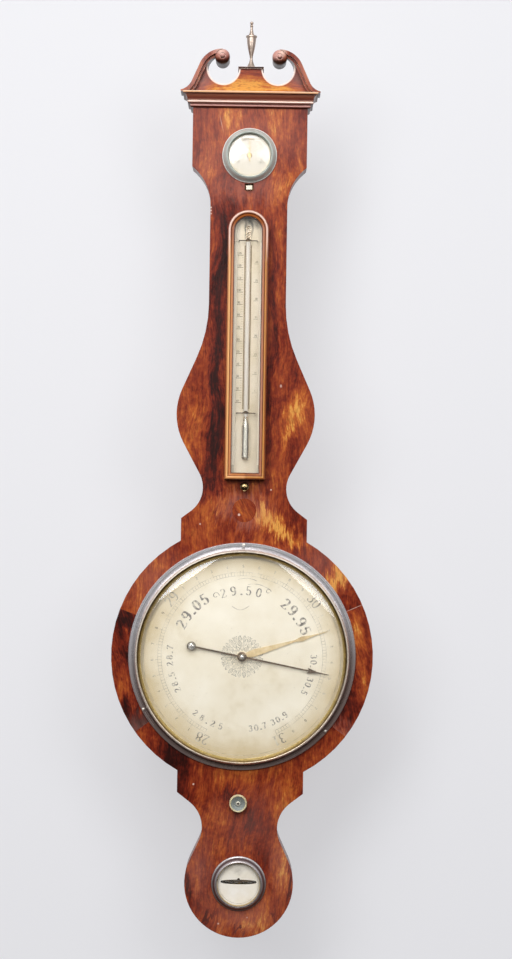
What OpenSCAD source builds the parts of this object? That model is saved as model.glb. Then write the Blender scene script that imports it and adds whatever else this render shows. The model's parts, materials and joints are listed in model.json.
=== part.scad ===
// Banjo wheel barometer: a wall-hung mahogany case with hygrometer, boxed thermometer, main dial and level.
// Each sub-part is drawn lying on its back: x to the right, y up the case from the dial centre, z out from
// the wall. hung() then stands it up: origin at the hanging hole on the wall plane, front at -y.

/* [Case] */
// depth of the case, wall to front of veneer
case_t = 38; // [37:0.5:46]
// thickness of the mahogany veneer
veneer_t = 1.5; // [1:0.1:2]
// radius of the round dial body
ring_r = 160; // [150:1:175]
// width of the square blocks above and below the round body
block_w = 154; // [140:1:170]
// height of the upper block's corners above the dial centre
block_up = 168; // [164:1:176]
// depth of the lower block's corners below the dial centre
block_down = 167; // [164:1:172]
// width of the head that carries the hygrometer
head_w = 140; // [120:1:160]
// top of the head above the dial centre
head_top = 670; // [668:1:690]
// height of the head's straight sides
head_h = 72; // [60:1:80]
// radius of the hollow shoulder under the head
shoulder_r = 59; // [50:1:80]
// width of the trunk
trunk_w = 94; // [88:1:104]
// height where the trunk begins to flare
flare_up = 431; // [425:1:445]
// radius of the trunk's flare
flare_r = 166; // [140:1:172]
// width of the swell beside the thermometer
swell_w = 169; // [155:1:180]
// height of the swell
swell_up = 295.5; // [285:0.5:305]
// radius of the swell
swell_r = 75; // [60:1:80]
// width of the neck above the dial
neck_w = 102; // [90:1:115]
// height of the neck above the dial
neck_up = 205.5; // [200:0.5:212]
// radius of the neck's hollow
neck_r = 36; // [28:1:37]
// width of the neck above the foot
foot_neck_w = 92; // [84:1:110]
// depth of the foot's neck below the dial centre
foot_neck_down = 210; // [206:0.5:216]
// radius of the foot neck's hollow
foot_neck_r = 39; // [30:1:42]
// radius of the round foot
foot_r = 66.5; // [60:0.5:72]
// depth of the foot's centre below the dial centre
foot_down = 277.5; // [270:0.5:290]
// radius of the round veneer plug
plug_r = 14.6; // [8:0.1:18]
// distance of the veneer plug below the thermometer box
plug_gap = 37.5; // [34:0.5:42]
// seam of the left ring veneer, degrees either way from the dial's top
seam_left = [-69.5, -126]; // [-180:0.5:0]
// seam of the right ring veneer
seam_right = [66, 127]; // [0:0.5:180]

/* [Pediment] */
// height of the cornice
cornice_h = 18.5; // [16:0.5:24]
// overhang of the cornice at front and sides
cornice_over = 12.4; // [9:0.2:15]
// thickness of the pediment board
board_t = 22; // [16:1:26]
// gap between the wall and the pediment board
board_back = 14; // [8:1:16]
// how far the swan necks stand out from the board
swan_out = 11; // [6:0.5:14]
// width of a swan neck's moulding
swan_w = 7.5; // [5:0.5:10]
// rise of a swan neck, tip to top
swan_rise = 50.5; // [42:0.5:56]
// radius of the scroll that ends a swan neck
scroll_r = 9; // [7:0.5:11]
// radius of the opening under a scroll
opening_r = 19.2; // [15:0.2:20]
// distance of an opening's centre from the middle
opening_x = 33.5; // [32:0.5:36]
// height of an opening's centre above the cornice
opening_h = 30.5; // [27:0.5:33]
// width of the plinth under the finial
plinth_w = 27; // [20:0.5:30]
// height of the plinth above the cornice
plinth_h = 29.8; // [26:0.2:34]
// thickness of the plinth's cap
cap_t = 2.6; // [2:0.2:5]
// overhang of the plinth's cap
cap_over = 2.2; // [1:0.2:4]
// height of the finial
finial_h = 58; // [46:1:66]
// radius of the finial's urn
finial_r = 5.6; // [4:0.1:8]

/* [Main dial] */
// radius of the silvered dial plate
dial_r = 126.5; // [118:0.5:128]
// thickness of a dial plate
dial_t = 1.5; // [1:0.1:2]
// outer radius of the main bezel
bezel_r = 139; // [136:0.5:146]
// height of the main bezel
bezel_h = 16; // [14:0.5:20]
// width of the bezel's lip over the edge of the dial
lip_w = 3; // [2:0.2:4]
// rise of the convex glass
glass_rise = 14; // [8:0.5:18]
// thickness of the convex glass
glass_t = 2.2; // [1.6:0.1:3]
// angles of the bezel screws, degrees clockwise from the top
bezel_screw_at = [0, 131, 241]; // [0:1:359]
// pressure scale, inches of mercury, first and last
scale_in = [28, 31]; // [26:0.5:32]
// sweep of the pressure scale in degrees
scale_sweep = 310; // [290:1:320]
// where the pressure hand stands, degrees clockwise from the top
hand_at = 101; // [60:0.5:150]
// length of the pressure hand from its pivot
hand_len = 108; // [90:1:112]
// length of the pressure hand's tail
tail_len = 63; // [45:1:75]
// radius of the counterpoise disc on the tail
poise_r = 5.6; // [4:0.1:7]
// where the set hand stands, degrees clockwise from the top
set_hand_at = 72.7; // [0:0.1:359]
// length of the set hand
set_hand_len = 109; // [90:1:112]
// radius of the set knob
knob_r = 10.8; // [8:0.2:13]
// depth of the set knob below the dial centre
knob_down = 179; // [174:0.5:180]
// sideways place of the set knob
knob_x = -2; // [-4:0.5:4]

/* [Movement] */
// half width of the cavity behind the dial
cavity_half = 34; // [33:0.5:36]
// top of the cavity above the dial centre
cavity_up = 54; // [46:1:70]
// bottom of the cavity below the dial centre
cavity_down = 190; // [189:0.5:193]
// thickness of the back door
door_t = 5.8; // [5:0.1:6.5]
// how far the door laps over the cavity's edge
door_lap = 10; // [9:0.5:10.5]
// thickness of the front board behind the dial, veneer included
front_t = 8; // [7:0.5:8.5]
// outer radius of the siphon tube
tube_r = 4.5; // [4:0.1:5]
// wall of the siphon tube
tube_wall = 1; // [0.8:0.1:1.2]
// radius of the siphon tube's bend
bend_r = 10; // [9:0.2:10.6]
// depth of the siphon tube's axis from the wall
tube_d = 17; // [16.5:0.1:17.5]
// level of the mercury in the open limb, below the dial centre
level_down = 128; // [124:1:134]
// length of the glass float
float_len = 24; // [16:1:28]
// belt radius of the set hand's pulley
set_pulley_r = 10; // [8:0.2:10.6]
// belt radius of the knob's pulley
knob_pulley_r = 7.5; // [6:0.1:7.8]
// radius of the gut cord
cord_r = 0.7; // [0.5:0.1:0.9]

/* [Hygrometer and level] */
// height of the hygrometer
hygro_up = 612; // [606:0.5:622]
// outer radius of a small bezel
small_r = 33.5; // [31:0.5:34]
// height of a small bezel
small_h = 9; // [8:0.2:12]
// radius of a small silvered plate
small_plate_r = 28.6; // [26.6:0.2:29]
// width of a small bezel's lip
small_lip = 3; // [2:0.2:4]
// swing of the hygrometer's adjuster either way, degrees
adjuster_swing = 4; // [2:0.5:5]
// distance of the adjuster's head from the hygrometer's centre
adjuster_reach = 39.5; // [39:0.2:41]
// length of the level's slot
slot_len = 44; // [34:0.5:44]
// height of the level's slot
slot_h = 5.8; // [4:0.2:7]
// how far the slot lies above the middle of its plate
slot_up = 2; // [0:0.2:3]
// radius of the level's vial
vial_r = 4.6; // [4:0.1:5]

/* [Thermometer] */
// height of the middle of the thermometer box
box_mid = 380; // [376:0.5:386]
// length of the thermometer box
box_len = 328; // [300:1:332]
// width of the thermometer box
box_w = 50; // [46:0.5:56]
// width of the box's moulding
box_rail = 8; // [7:0.2:9]
// depth of the box in front of the case
box_depth = 16; // [15.5:0.5:20]
// radius of the thermometer's stem
stem_r = 3; // [2:0.1:3.2]
// radius of the thermometer's bulb
bulb_r = 4.4; // [3.6:0.1:4.6]
// length of the thermometer's bulb
bulb_len = 41; // [32:1:48]
// height of the mercury above the foot of the bulb
column_up = 150; // [80:1:200]
// heights of the staples, as shares of the box's length
staple_share = [0.247, 0.887]; // [0.2:0.001:0.9]
// half width of a staple
staple_half = 11.2; // [8:0.2:13]
// radius of the knob that holds the box
box_knob_r = 5.8; // [4.5:0.1:6.4]

/* [Mounting] */
// height of the hanging hole above the dial centre
hang_up = 704; // [702:1:712]
// radius of the hanging hole
hang_r = 4; // [3:0.1:5]
// thickness of the hanger plate
hanger_t = 2.5; // [2:0.1:3]
// half width of the hanger plate
hanger_half = 11; // [9:0.5:13]

/* [Hidden] */
$fn = 64;

// clearances: glued or seated, running, and free
fit = 0.05;
run = 0.06;
free = 0.4;
arc_step = 6;
inch = 25.4;
far = 900;

mahogany = "#6f3519";
pine = "#c9a878";
brass = "#b08d4a";
silvered = "#cfc9ba";
steel = "#4c4f57";
clear = [0.85, 0.92, 0.95, 0.35];
quicksilver = "#c4c8cc";
bone = "#d8cdb4";

// the case's outline: arcs joined by their common tangents, down the right side and mirrored
head_bottom = head_top - head_h;
shoulder_x = trunk_w / 2 + shoulder_r;
shoulder_c = [shoulder_x, head_bottom - sqrt(shoulder_r ^ 2 - (shoulder_x - head_w / 2) ^ 2)];
flare_c = [trunk_w / 2 + flare_r, flare_up];
swell_c = [swell_w / 2 - swell_r, swell_up];
neck_c = [neck_w / 2 + neck_r, neck_up];
foot_neck_c = [foot_neck_w / 2 + foot_neck_r, -foot_neck_down];
foot_c = [0, -foot_down];
swell_a0 = cross_angle(swell_c, swell_r, flare_c, flare_r, -1);
swell_a1 = cross_angle(swell_c, swell_r, neck_c, neck_r, 1);
neck_a1 = 360 + touch_angle([block_w / 2, block_up], neck_c, neck_r, -1);
foot_neck_a0 = touch_angle([block_w / 2, -block_down], foot_neck_c, foot_neck_r, 1);
foot_a0 = cross_angle(foot_c, foot_r, foot_neck_c, foot_neck_r, -1);

// depths from the wall
core_t = case_t - veneer_t;
cavity_d = case_t - front_t;
plate_d = case_t + dial_t;
cover_t = 5;
cover_half = 11;
channel_half = tube_r + 2;
channel_d = tube_d + tube_r + 1.5;

// the door and its pins
door_half = cavity_half + door_lap;
door_top = cavity_up + 6;
door_bottom = -cavity_down - 6;
door_gap = 0.1;
door_pin_r = 1.5;
door_edge_r = door_t / 2;
door_pin_d = door_gap + door_edge_r;
door_pin_x = -door_half + door_edge_r;
door_pin_len = 7;
rebate_d = door_t + 2 * door_gap;
door_screw_x = cavity_half + door_lap / 2;
door_screw_up = (door_top + door_bottom) / 2;
door_screw_r = 1.6;
door_screw_len = 13;
door_head_r = 3.4;
door_head_t = 1.9;

// the movement: the float drops by half of what the pressure rises
scale_span = scale_in[1] - scale_in[0];
thread_at = scale_span * inch / 2 / (scale_sweep * PI / 180);
reading = scale_in[0] + scale_span * (hand_at + scale_sweep / 2) / scale_sweep;
long_x = thread_at + 2 * bend_r;
bend_up = -level_down - 20;
long_level = -level_down + reading * inch;
tube_top = head_top - 6;
hairline = 0.02;
open_top = -level_down + 66;
thread_r = 0.25;
wheel_r = thread_at + 2;
groove_r = thread_at - thread_r - 0.15;
counter_d = tube_d - 3.4;
float_r = tube_r - tube_wall - 0.8;
counter_up = -60;
counter_len = 22;
counter_r = 2.9;
cock_d = 8;
cock_t = 3;
cock_reach = 32;
cock_half = 5.5;
arbor_r = 1.2;
pivot_r = 0.8;
cannon_r = 3;
bush_r = 5;
belt_d = cavity_d - 4;
pulley_half = 2.4;
set_hand_d = plate_d + 0.8;
set_hand_t = 0.8;
hand_d = set_hand_d + set_hand_t + 1.5;
hand_t = 1;
hub_r = 5.8;
spindle_r = 2.5;
knob_bush_r = 4.5;
knob_d = case_t + 1.2;
knob_t = 7;
knob_place = [knob_x, -knob_down];

dish_d = knob_d + 4.6;
mercury_r = tube_r - tube_wall - 0.1;

// pediment, measured from the top of the cornice
cornice_top = head_top + cornice_h;
board_front = board_back + board_t;
swan_tip = [head_w / 2 + cornice_over + 3, 1.5];
swan_a0 = 12;
swan_a1 = 66;
swan_r0 = 19;
swan_r1 = 30;
swan_c0 = swan_tip + swan_r0 * [sin(swan_a0), cos(swan_a0)];
swan_len = (swan_rise - swan_r0 * (cos(swan_a0) - cos(swan_a1)) - swan_r1 * (1 - cos(swan_a1))) / sin(swan_a1);
swan_c1 = swan_c0 - (swan_r0 + swan_r1) * [sin(swan_a1), cos(swan_a1)]
    + swan_len * [-cos(swan_a1), sin(swan_a1)];
scroll_c = swan_c1 + [0, swan_r1 - scroll_r];
scroll_front = board_front + swan_out + 2;
finial_up = cornice_top + plinth_h + cap_t;
finial_d = (board_back + board_front) / 2;

// main bezel and glass
bezel_wall_r = dial_r + free;
sight_r = dial_r - lip_w;
lip_h = bezel_h * 0.6;
flange_h = 3.2;
crest_r = sight_r + 4.6;
flange_r = bezel_r - 5.2;
glass_r = dial_r - 0.1;
glass_seat = lip_h - 0.7 - fit;
glass_ball = (glass_r ^ 2 + glass_rise ^ 2) / (2 * glass_rise);
bezel_screw_r = bezel_r - 2.7;

// hygrometer and level
chamber_r = small_plate_r - 6;
hygro_d = channel_d + 3;
adjuster_half = 2;
adjuster_t = 1.5;
adjuster_post_r = 1.7;
adjuster_slot = (adjuster_reach + 3) * sin(adjuster_swing) + adjuster_half + free;
beard_r = 0.5;
small_wall_r = small_plate_r + 0.3;
small_sight = small_plate_r - small_lip;
small_glass_r = small_plate_r - 0.1;
small_lip_h = small_h * 0.55;
level_r = small_plate_r - 4.4;
level_up = -foot_down + slot_up;
level_d = case_t - 14;
vial_d = case_t - vial_r - 0.3;
vial_half = sqrt(level_r ^ 2 - (vial_r + slot_up) ^ 2) - 0.5;

// thermometer box
box_out = box_w / 2;
box_in = box_out - box_rail;
box_up = box_mid - box_len / 2;
plug_up = box_up - plug_gap;
staple_up = [for (f = staple_share) f * box_len];
box_d = case_t + 0.1;
box_front = case_t + box_depth;
arch_up = box_up + box_len - box_out;
sill_up = box_up + box_rail;
mitre_up = sill_up + box_in;
scale_t = 1.2;
scale_half = box_in - 0.5;
tube_axis_d = case_t + scale_t + bulb_r + 0.15;
pane_d = box_front - 4.8;
pane_t = 2;
stem_top = arch_up + 6;
bulb_up = sill_up + 16;
bulb_wall = 0.7;
bulb_top = bulb_up + bulb_len;
bulb_neck = 11;
staple_r = 0.6;
staple_d = tube_axis_d + stem_r + staple_r + 0.1;
box_knob_up = box_up - 9;
tongue_t = 2.4;
screw_r = 1.8;
bore_r = 0.7;

// hanger and screws
hanger_low = hang_up - 70;
screw_head_r = 2.7;
screw_shank_r = 1.3;
screw_head_h = 1.5;
screw_len = 11;
cover_bottom = door_top + 1;
cover_top = tube_top + 3;
cover_screw_x = (channel_half + cover_half) / 2;
back_screws = concat(
    [for (u = [hanger_low + 9, hanger_low + 27]) [0, u]],
    [for (u = [cover_bottom + 30, cover_top - 60]) for (s = [-1, 1]) [long_x + s * cover_screw_x, u]]
);
cork_ups = [0.2, 0.5, 0.8];

function arc(c, r, a0, a1) =
    let (n = max(2, ceil(abs(a1 - a0) / arc_step)))
    [for (i = [0:n]) c + r * [cos(a0 + (a1 - a0) * i / n), sin(a0 + (a1 - a0) * i / n)]];

// angle on circle c where the line from p touches it
function touch_angle(p, c, r, side) =
    atan2(p[1] - c[1], p[0] - c[0]) + side * acos(min(1, r / norm(p - c)));

// angle on circle a where the line that crosses over to circle b touches it
function cross_angle(a, ra, b, rb, side) =
    atan2(b[1] - a[1], b[0] - a[0]) + side * acos(min(1, (ra + rb) / norm(b - a)));

// corner where a block's side, moved in by i, meets the tangent of a neck circle at angle a
function block_corner(i, c, r, a) =
    let (x = block_w / 2 - i)
    [x, c[1] + (r + i - (x - c[0]) * cos(a)) / sin(a)];

// right side of the case, moved in by i
function case_side(i) =
    let (ring_a = acos((block_w / 2 - i) / (ring_r - i)))
    let (corner_a = acos((head_w / 2 - i - shoulder_x) / (shoulder_r + i)))
    concat(
        [[head_w / 2 - i, head_top]],
        arc(shoulder_c, shoulder_r + i, corner_a, 180),
        arc(flare_c, flare_r + i, 180, swell_a0 + 180),
        arc(swell_c, swell_r - i, swell_a0, swell_a1),
        arc(neck_c, neck_r + i, swell_a1 + 180, neck_a1),
        [block_corner(i, neck_c, neck_r, neck_a1)],
        arc([0, 0], ring_r - i, ring_a, -ring_a),
        [block_corner(i, foot_neck_c, foot_neck_r, foot_neck_a0)],
        arc(foot_neck_c, foot_neck_r + i, foot_neck_a0, foot_a0 + 180),
        arc(foot_c, foot_r - i, foot_a0, -90)
    );

// a point at a clockwise angle from the top
function clock(a, r) = r * [sin(a), cos(a)];

function mirrored(p) = concat(p, [for (i = [len(p) - 1:-1:0]) if (p[i][0] > 0.001) [-p[i][0], p[i][1]]]);

// stands the part up on the wall, with the origin at the hanging hole
module hung() {
    translate([0, 0, -hang_up]) rotate([90, 0, 0]) children();
}

module case_outline(i = 0) {
    polygon(mirrored(case_side(i)));
}

module slab(d0, d1) {
    translate([0, 0, d0]) linear_extrude(d1 - d0) children();
}

module rod(x, up, r, d0, d1) {
    translate([x, up, d0]) cylinder(h = d1 - d0, r = r);
}

module block(x0, x1, up0, up1, d0, d1) {
    translate([x0, up0, d0]) cube([x1 - x0, up1 - up0, d1 - d0]);
}

// turned about an axis that points out from the wall
module turned_out(profile, x = 0, up = 0) {
    translate([x, up, 0]) rotate_extrude($fn = 96) polygon(profile);
}

// turned about an axis that points up the case
module turned_up(profile, x, d) {
    translate([x, 0, d]) rotate([-90, 0, 0]) rotate_extrude() polygon(profile);
}

// brass screw with a countersunk head, let in from the back
module screw_body(g = 0) {
    rotate_extrude() polygon([
        [0, -g], [screw_head_r + g, -g], [screw_shank_r + g, screw_head_h + g],
        [screw_shank_r + g, screw_len], [0, screw_len + 1.3 + g]
    ]);
}

module screw_cuts() {
    for (p = back_screws) translate([p[0], p[1], 0.2]) {
        screw_body(fit);
        translate([0, 0, -1]) cylinder(h = 1, r = screw_head_r + fit);
    }
}

// what is cut through the veneer, and on into the carcass where it goes deeper
module veneer_cuts() {
    circle(r = dial_r - 8.5, $fn = 96);
    translate([0, hygro_up]) circle(r = chamber_r);
    translate([-adjuster_slot, hygro_up - adjuster_reach - 3])
        square([2 * adjuster_slot, adjuster_reach - small_r + 2.4]);
    translate(foot_c) circle(r = level_r);
    translate(knob_place) circle(r = knob_bush_r + fit);
    translate([0, box_knob_up]) circle(r = screw_r + 0.6);
    translate([0, plug_up]) circle(r = plug_r + fit);
    for (a = bezel_screw_at) translate(clock(a, bezel_screw_r)) circle(r = screw_shank_r + fit);
    for (u = staple_up) for (s = [-1, 1])
        translate([s * staple_half, box_up + u]) circle(r = staple_r + fit, $fn = 24);
}

module wedge(seam) {
    polygon([[0, 0], clock(seam[0], far), clock((seam[0] + seam[1]) / 2, 2 * far), clock(seam[1], far)]);
}

module carcass() {
    color(pine) hung() difference() {
        slab(0, core_t) case_outline(veneer_t);
        // door rebate and the cavity behind the dial
        block(-door_half - free, door_half + free, door_bottom - free, door_top + free, -1, rebate_d);
        block(-cavity_half, cavity_half, -cavity_down, cavity_up, 0, cavity_d);
        for (u = [door_top, door_bottom - door_pin_len])
            translate([door_pin_x, u, door_pin_d]) rotate([-90, 0, 0])
                cylinder(h = door_pin_len + fit, r = door_pin_r + fit);
        rod(door_screw_x, door_screw_up, door_screw_r + 0.9, 0, door_screw_len + 2);
        // channel of the long limb with the rebate of its cover
        block(long_x - channel_half, long_x + channel_half, cavity_up - 1, tube_top + 2, -1, channel_d);
        block(long_x - cover_half - 0.1, long_x + cover_half + 0.1, cover_bottom - 0.1, cover_top + 0.1,
              -1, cover_t);
        // arbor, knob and cock
        rod(0, 0, bush_r + fit, cavity_d - 1, case_t);
        rod(knob_x, -knob_down, knob_bush_r + fit, cavity_d - 1, case_t);
        for (s = [-1, 1]) rod(0, s * cock_reach, 3 + fit, cavity_d - 1, cavity_d + 4);
        // hygrometer, level and what holds the thermometer box
        rod(0, hygro_up, chamber_r, hygro_d, case_t);
        block(-adjuster_slot - 0.6, adjuster_slot + 0.6, hygro_up - adjuster_reach - 3.6, hygro_up,
              hygro_d, case_t);
        rod(0, -foot_down, level_r, level_d, case_t);
        rod(0, box_knob_up, screw_r + 0.6, case_t - 12, case_t);
        for (u = staple_up) for (s = [-1, 1])
            rod(s * staple_half, box_up + u, staple_r + fit, case_t - 7, case_t);
        for (a = bezel_screw_at) let (p = clock(a, bezel_screw_r))
            rod(p[0], p[1], screw_shank_r + fit, case_t - 9.5, case_t);
        // hanger plate and screws
        block(-hanger_half - 0.2, hanger_half + 0.2, hanger_low - 0.2, head_top + 1, -1, hanger_t + fit);
        screw_cuts();
    }
}

module edge_veneer() {
    color(mahogany) hung() slab(0, core_t) difference() {
        case_outline(0);
        case_outline(veneer_t);
        translate([-head_w, head_top - 0.5]) square([2 * head_w, 2]);
    }
}

module veneer_leaf(top) {
    slab(core_t, case_t) difference() {
        intersection() {
            case_outline(0);
            translate([-far, top ? 0 : -far]) square([2 * far, far]);
        }
        wedge(seam_left);
        wedge(seam_right);
        veneer_cuts();
    }
}

module ring_leaf(seam) {
    slab(core_t, case_t) difference() {
        intersection() {
            case_outline(0);
            wedge(seam);
        }
        veneer_cuts();
    }
}

module trunk_veneer() {
    color(mahogany) hung() veneer_leaf(true);
}

module foot_veneer() {
    color(mahogany) hung() veneer_leaf(false);
}

module ring_veneers() {
    color(mahogany) hung() {
        ring_leaf(seam_left);
        ring_leaf(seam_right);
    }
}

module veneer_plug() {
    color("#7d4320") hung() rod(0, plug_up, plug_r, core_t, case_t);
}

// cornice moulding, overhang against height, on a block that reaches back by the given depth
function cornice_profile(back) =
    let (o = cornice_over, h = cornice_h)
    concat(
        [[-back, 0], [o * 0.16, 0]],
        arc([o * 0.16, h * 0.1], h * 0.09, -80, 80),
        [[o * 0.2, h * 0.22], [o * 0.4, h * 0.24]],
        arc([o * 0.42, h * 0.33], h * 0.085, -80, 80),
        [[o * 0.46, h * 0.44], [o * 0.56, h * 0.46]],
        [for (a = [15:15:75]) [o * (0.56 + 0.34 * (1 - cos(a))), h * (0.46 + 0.38 * sin(a))]],
        [[o, h * 0.87], [o, h], [-back, h]]
    );

module cornice() {
    color(mahogany) hung() difference() {
        intersection() {
            translate([-far / 2, head_top, case_t]) rotate([90, 0, 90]) linear_extrude(far)
                polygon([for (p = cornice_profile(case_t)) [p[1], p[0]]]);
            slab(-1, case_t + 2 * cornice_over) translate([0, head_top])
                polygon(mirrored([for (p = cornice_profile(head_w / 2)) [head_w / 2 + p[0], p[1]]]));
        }
        block(-hanger_half - 0.2, hanger_half + 0.2, head_top - 1, cornice_top + 1, -1, hanger_t + fit);
    }
}

// a swan neck's curve, moved in by w: a hollow arc, a straight and a round arc that ends over the scroll
function swan_path(w) = concat(
    [for (a = [swan_a0:6:swan_a1]) swan_c0 - (swan_r0 + w) * [sin(a), cos(a)]],
    [for (a = [swan_a1:-6:0]) swan_c1 + (swan_r1 - w) * [sin(a), cos(a)]]
);

module above_cornice() {
    translate([0, cornice_top]) intersection() {
        children();
        translate([-far, 0]) square([2 * far, far]);
    }
}

module swan_strip(w0, w1) {
    outer = swan_path(w0);
    inner = swan_path(w1);
    polygon(concat(outer, [for (i = [len(inner) - 1:-1:0]) inner[i]]));
}

module pediment_board() {
    color(mahogany) hung() difference() {
        slab(board_back, board_front) above_cornice() union() {
            difference() {
                polygon(mirrored(concat(
                    [[0, 0], [swan_tip[0], 0]], swan_path(0.4),
                    [scroll_c, [plinth_w / 2, plinth_h], [0, plinth_h]]
                )));
                for (s = [-1, 1]) translate([s * opening_x, opening_h]) circle(r = opening_r);
                translate([-plinth_w / 2 - cap_over - 1, plinth_h]) square([plinth_w + 2 * cap_over + 2, far]);
            }
            for (s = [-1, 1]) translate([s * scroll_c[0], scroll_c[1]]) circle(r = scroll_r - 0.4);
            translate([-plinth_w / 2, 0]) square([plinth_w, plinth_h]);
        }
        spigot(fit);
    }
}

module swan_neck() {
    slab(board_front, board_front + swan_out * 0.55) above_cornice() difference() {
        swan_strip(0, swan_w);
        translate(scroll_c) circle(r = scroll_r - 0.5);
    }
    slab(board_front, board_front + swan_out) above_cornice() difference() {
        swan_strip(0, swan_w * 0.6);
        translate(scroll_c) circle(r = scroll_r - 0.5);
    }
    translate([0, cornice_top]) turned_out([
        [0, board_front], [scroll_r, board_front], [scroll_r, scroll_front - 4.6],
        [scroll_r - 0.7, scroll_front - 2.9], [scroll_r - 2.1, scroll_front - 1.4],
        [scroll_r - 3.9, scroll_front - 0.3], [scroll_r * 0.44, scroll_front],
        [scroll_r * 0.4, scroll_front - 0.5], [scroll_r * 0.34, scroll_front - 0.4],
        [scroll_r * 0.28, scroll_front + 0.8], [scroll_r * 0.16, scroll_front + 1.4], [0, scroll_front + 1.6]
    ], scroll_c[0], scroll_c[1]);
}

module swan_necks() {
    color(mahogany) hung() {
        swan_neck();
        mirror([1, 0, 0]) swan_neck();
    }
}

module spigot(g) {
    translate([0, finial_up - 7 - g, finial_d]) rotate([-90, 0, 0]) cylinder(h = 8, r = 2 + g);
}

module plinth_cap() {
    color(mahogany) hung() difference() {
        block(-plinth_w / 2 - cap_over, plinth_w / 2 + cap_over, cornice_top + plinth_h, finial_up,
              board_back - 1, board_front + cap_over);
        spigot(fit);
    }
}

// urn finial, turned
function finial_profile() =
    let (h = finial_h / 56, r = finial_r / 5.6)
    concat(
        [[0, 0], [6 * r, 0], [6 * r, 1.4 * h]],
        [for (t = [0.05:0.15:1]) [(1.6 + 3.9 * (1 - t) ^ 1.6) * r, (1.4 + 10.6 * t) * h]],
        [for (t = [0:0.125:1]) [(1.6 + 4 * sin(t * 90) ^ 1.2) * r, (12.4 + 24 * t) * h]],
        [[6.7 * r, 37 * h], [6.7 * r, 38.7 * h], [3.6 * r, 39.4 * h]],
        [[2.2 * r, 43 * h], [1.3 * r, 48.2 * h]],
        [for (a = [-50:25:50]) [1.9 * r * cos(a), (50.4 + 1.9 * sin(a)) * h]],
        [for (a = [-45:30:75]) [2.1 * r * cos(a), (53.9 + 2.1 * sin(a)) * h]],
        [[0, 56 * h]]
    );

module finial() {
    color(brass) hung() {
        turned_up([for (p = finial_profile()) [p[0], finial_up + p[1]]], 0, finial_d);
        spigot(0);
    }
}

module hanger_plate() {
    color(brass) hung() difference() {
        union() {
            block(-hanger_half, hanger_half, hanger_low, hang_up, 0, hanger_t);
            rod(0, hang_up, hanger_half, 0, hanger_t);
        }
        rod(0, hang_up, hang_r, -1, hanger_t + 1);
        screw_cuts();
    }
}

module brass_screws() {
    color(brass) hung() for (p = back_screws) translate([p[0], p[1], 0.2]) difference() {
        screw_body();
        block(-screw_head_r - 1, screw_head_r + 1, -0.4, 0.4, -0.5, 0.7);
    }
}

module trunk_cover() {
    color(pine) hung() difference() {
        block(long_x - cover_half, long_x + cover_half, cover_bottom, cover_top, 0.1, cover_t);
        screw_cuts();
    }
}

module door_pins() {
    color(brass) hung() for (u = [door_top, door_bottom])
        translate([door_pin_x, u - door_pin_len + 0.2, door_pin_d]) rotate([-90, 0, 0])
            cylinder(h = 2 * door_pin_len - 0.4, r = door_pin_r);
}

module dial_plate() {
    color(silvered) hung() turned_out([
        [cannon_r + 0.6, case_t], [dial_r, case_t], [dial_r, plate_d], [cannon_r + 0.6, plate_d]
    ]);
}

// ogee between two points of a bezel, outer and low to inner and high
function ogee(p, q, n) = [for (i = [0:n]) let (t = i / n)
    [p[0] + (q[0] - p[0]) * t, p[1] + (q[1] - p[1]) * (t - 0.09 * sin(360 * t))]];

module dial_bezel() {
    profile = concat(
        [[bezel_wall_r, 0], [bezel_r, 0], [bezel_r, flange_h - 1], [bezel_r - 0.7, flange_h],
         [flange_r, flange_h]],
        ogee([flange_r - 0.1, flange_h + 0.4], [crest_r + 0.9, bezel_h - 0.8], 8),
        [[crest_r, bezel_h], [crest_r - 0.8, bezel_h - 0.3], [sight_r, lip_h + 1.4], [sight_r, lip_h]],
        [[bezel_wall_r, lip_h]]
    );
    color(brass) hung() difference() {
        turned_out([for (p = profile) [p[0], case_t + p[1]]]);
        for (a = bezel_screw_at) let (p = clock(a, bezel_screw_r))
            rod(p[0], p[1], screw_shank_r + fit, case_t - 1, case_t + bezel_h);
    }
}

module bezel_screws() {
    top = case_t + flange_h;
    color(brass) hung() for (a = bezel_screw_at) let (p = clock(a, bezel_screw_r))
        translate([p[0], p[1], 0]) rotate_extrude($fn = 32) polygon([
            [0, case_t - 9], [screw_shank_r, case_t - 8], [screw_shank_r, top], [2.1, top], [2.1, top + 0.6],
            [1.5, top + 1.3], [0, top + 1.6]
        ]);
}

// a convex glass: its edge stands at height h, and it rises to the middle
function lens(r, rise, t, h) =
    let (ball = (r ^ 2 + rise ^ 2) / (2 * rise), c = h + rise - ball, a1 = asin(r / ball))
    concat(
        [for (i = [0:12]) [ball * sin(a1 * i / 12), c + ball * cos(a1 * i / 12)]],
        [for (i = [12:-1:0]) [(ball - t) * sin(a1 * i / 12), c + (ball - t) * cos(a1 * i / 12)]]
    );

module dial_glass() {
    color(clear) hung() turned_out(lens(glass_r, glass_rise, glass_t, case_t + glass_seat));
}

module glass_putty() {
    h = case_t + glass_seat - glass_t;
    color("#8d8676") hung()
        turned_out([[bezel_wall_r - 0.1, h - 0.35], [bezel_wall_r - 0.1, h - 3.3], [sight_r + 0.7, h + 0.15]]);
}

module centre_bush() {
    color(brass) hung() turned_out([
        [cannon_r + run, cavity_d - 0.9], [bush_r + 2, cavity_d - 0.9], [bush_r + 2, cavity_d],
        [bush_r, cavity_d], [bush_r, case_t - 0.2], [cannon_r + run, case_t - 0.2]
    ]);
}

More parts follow.
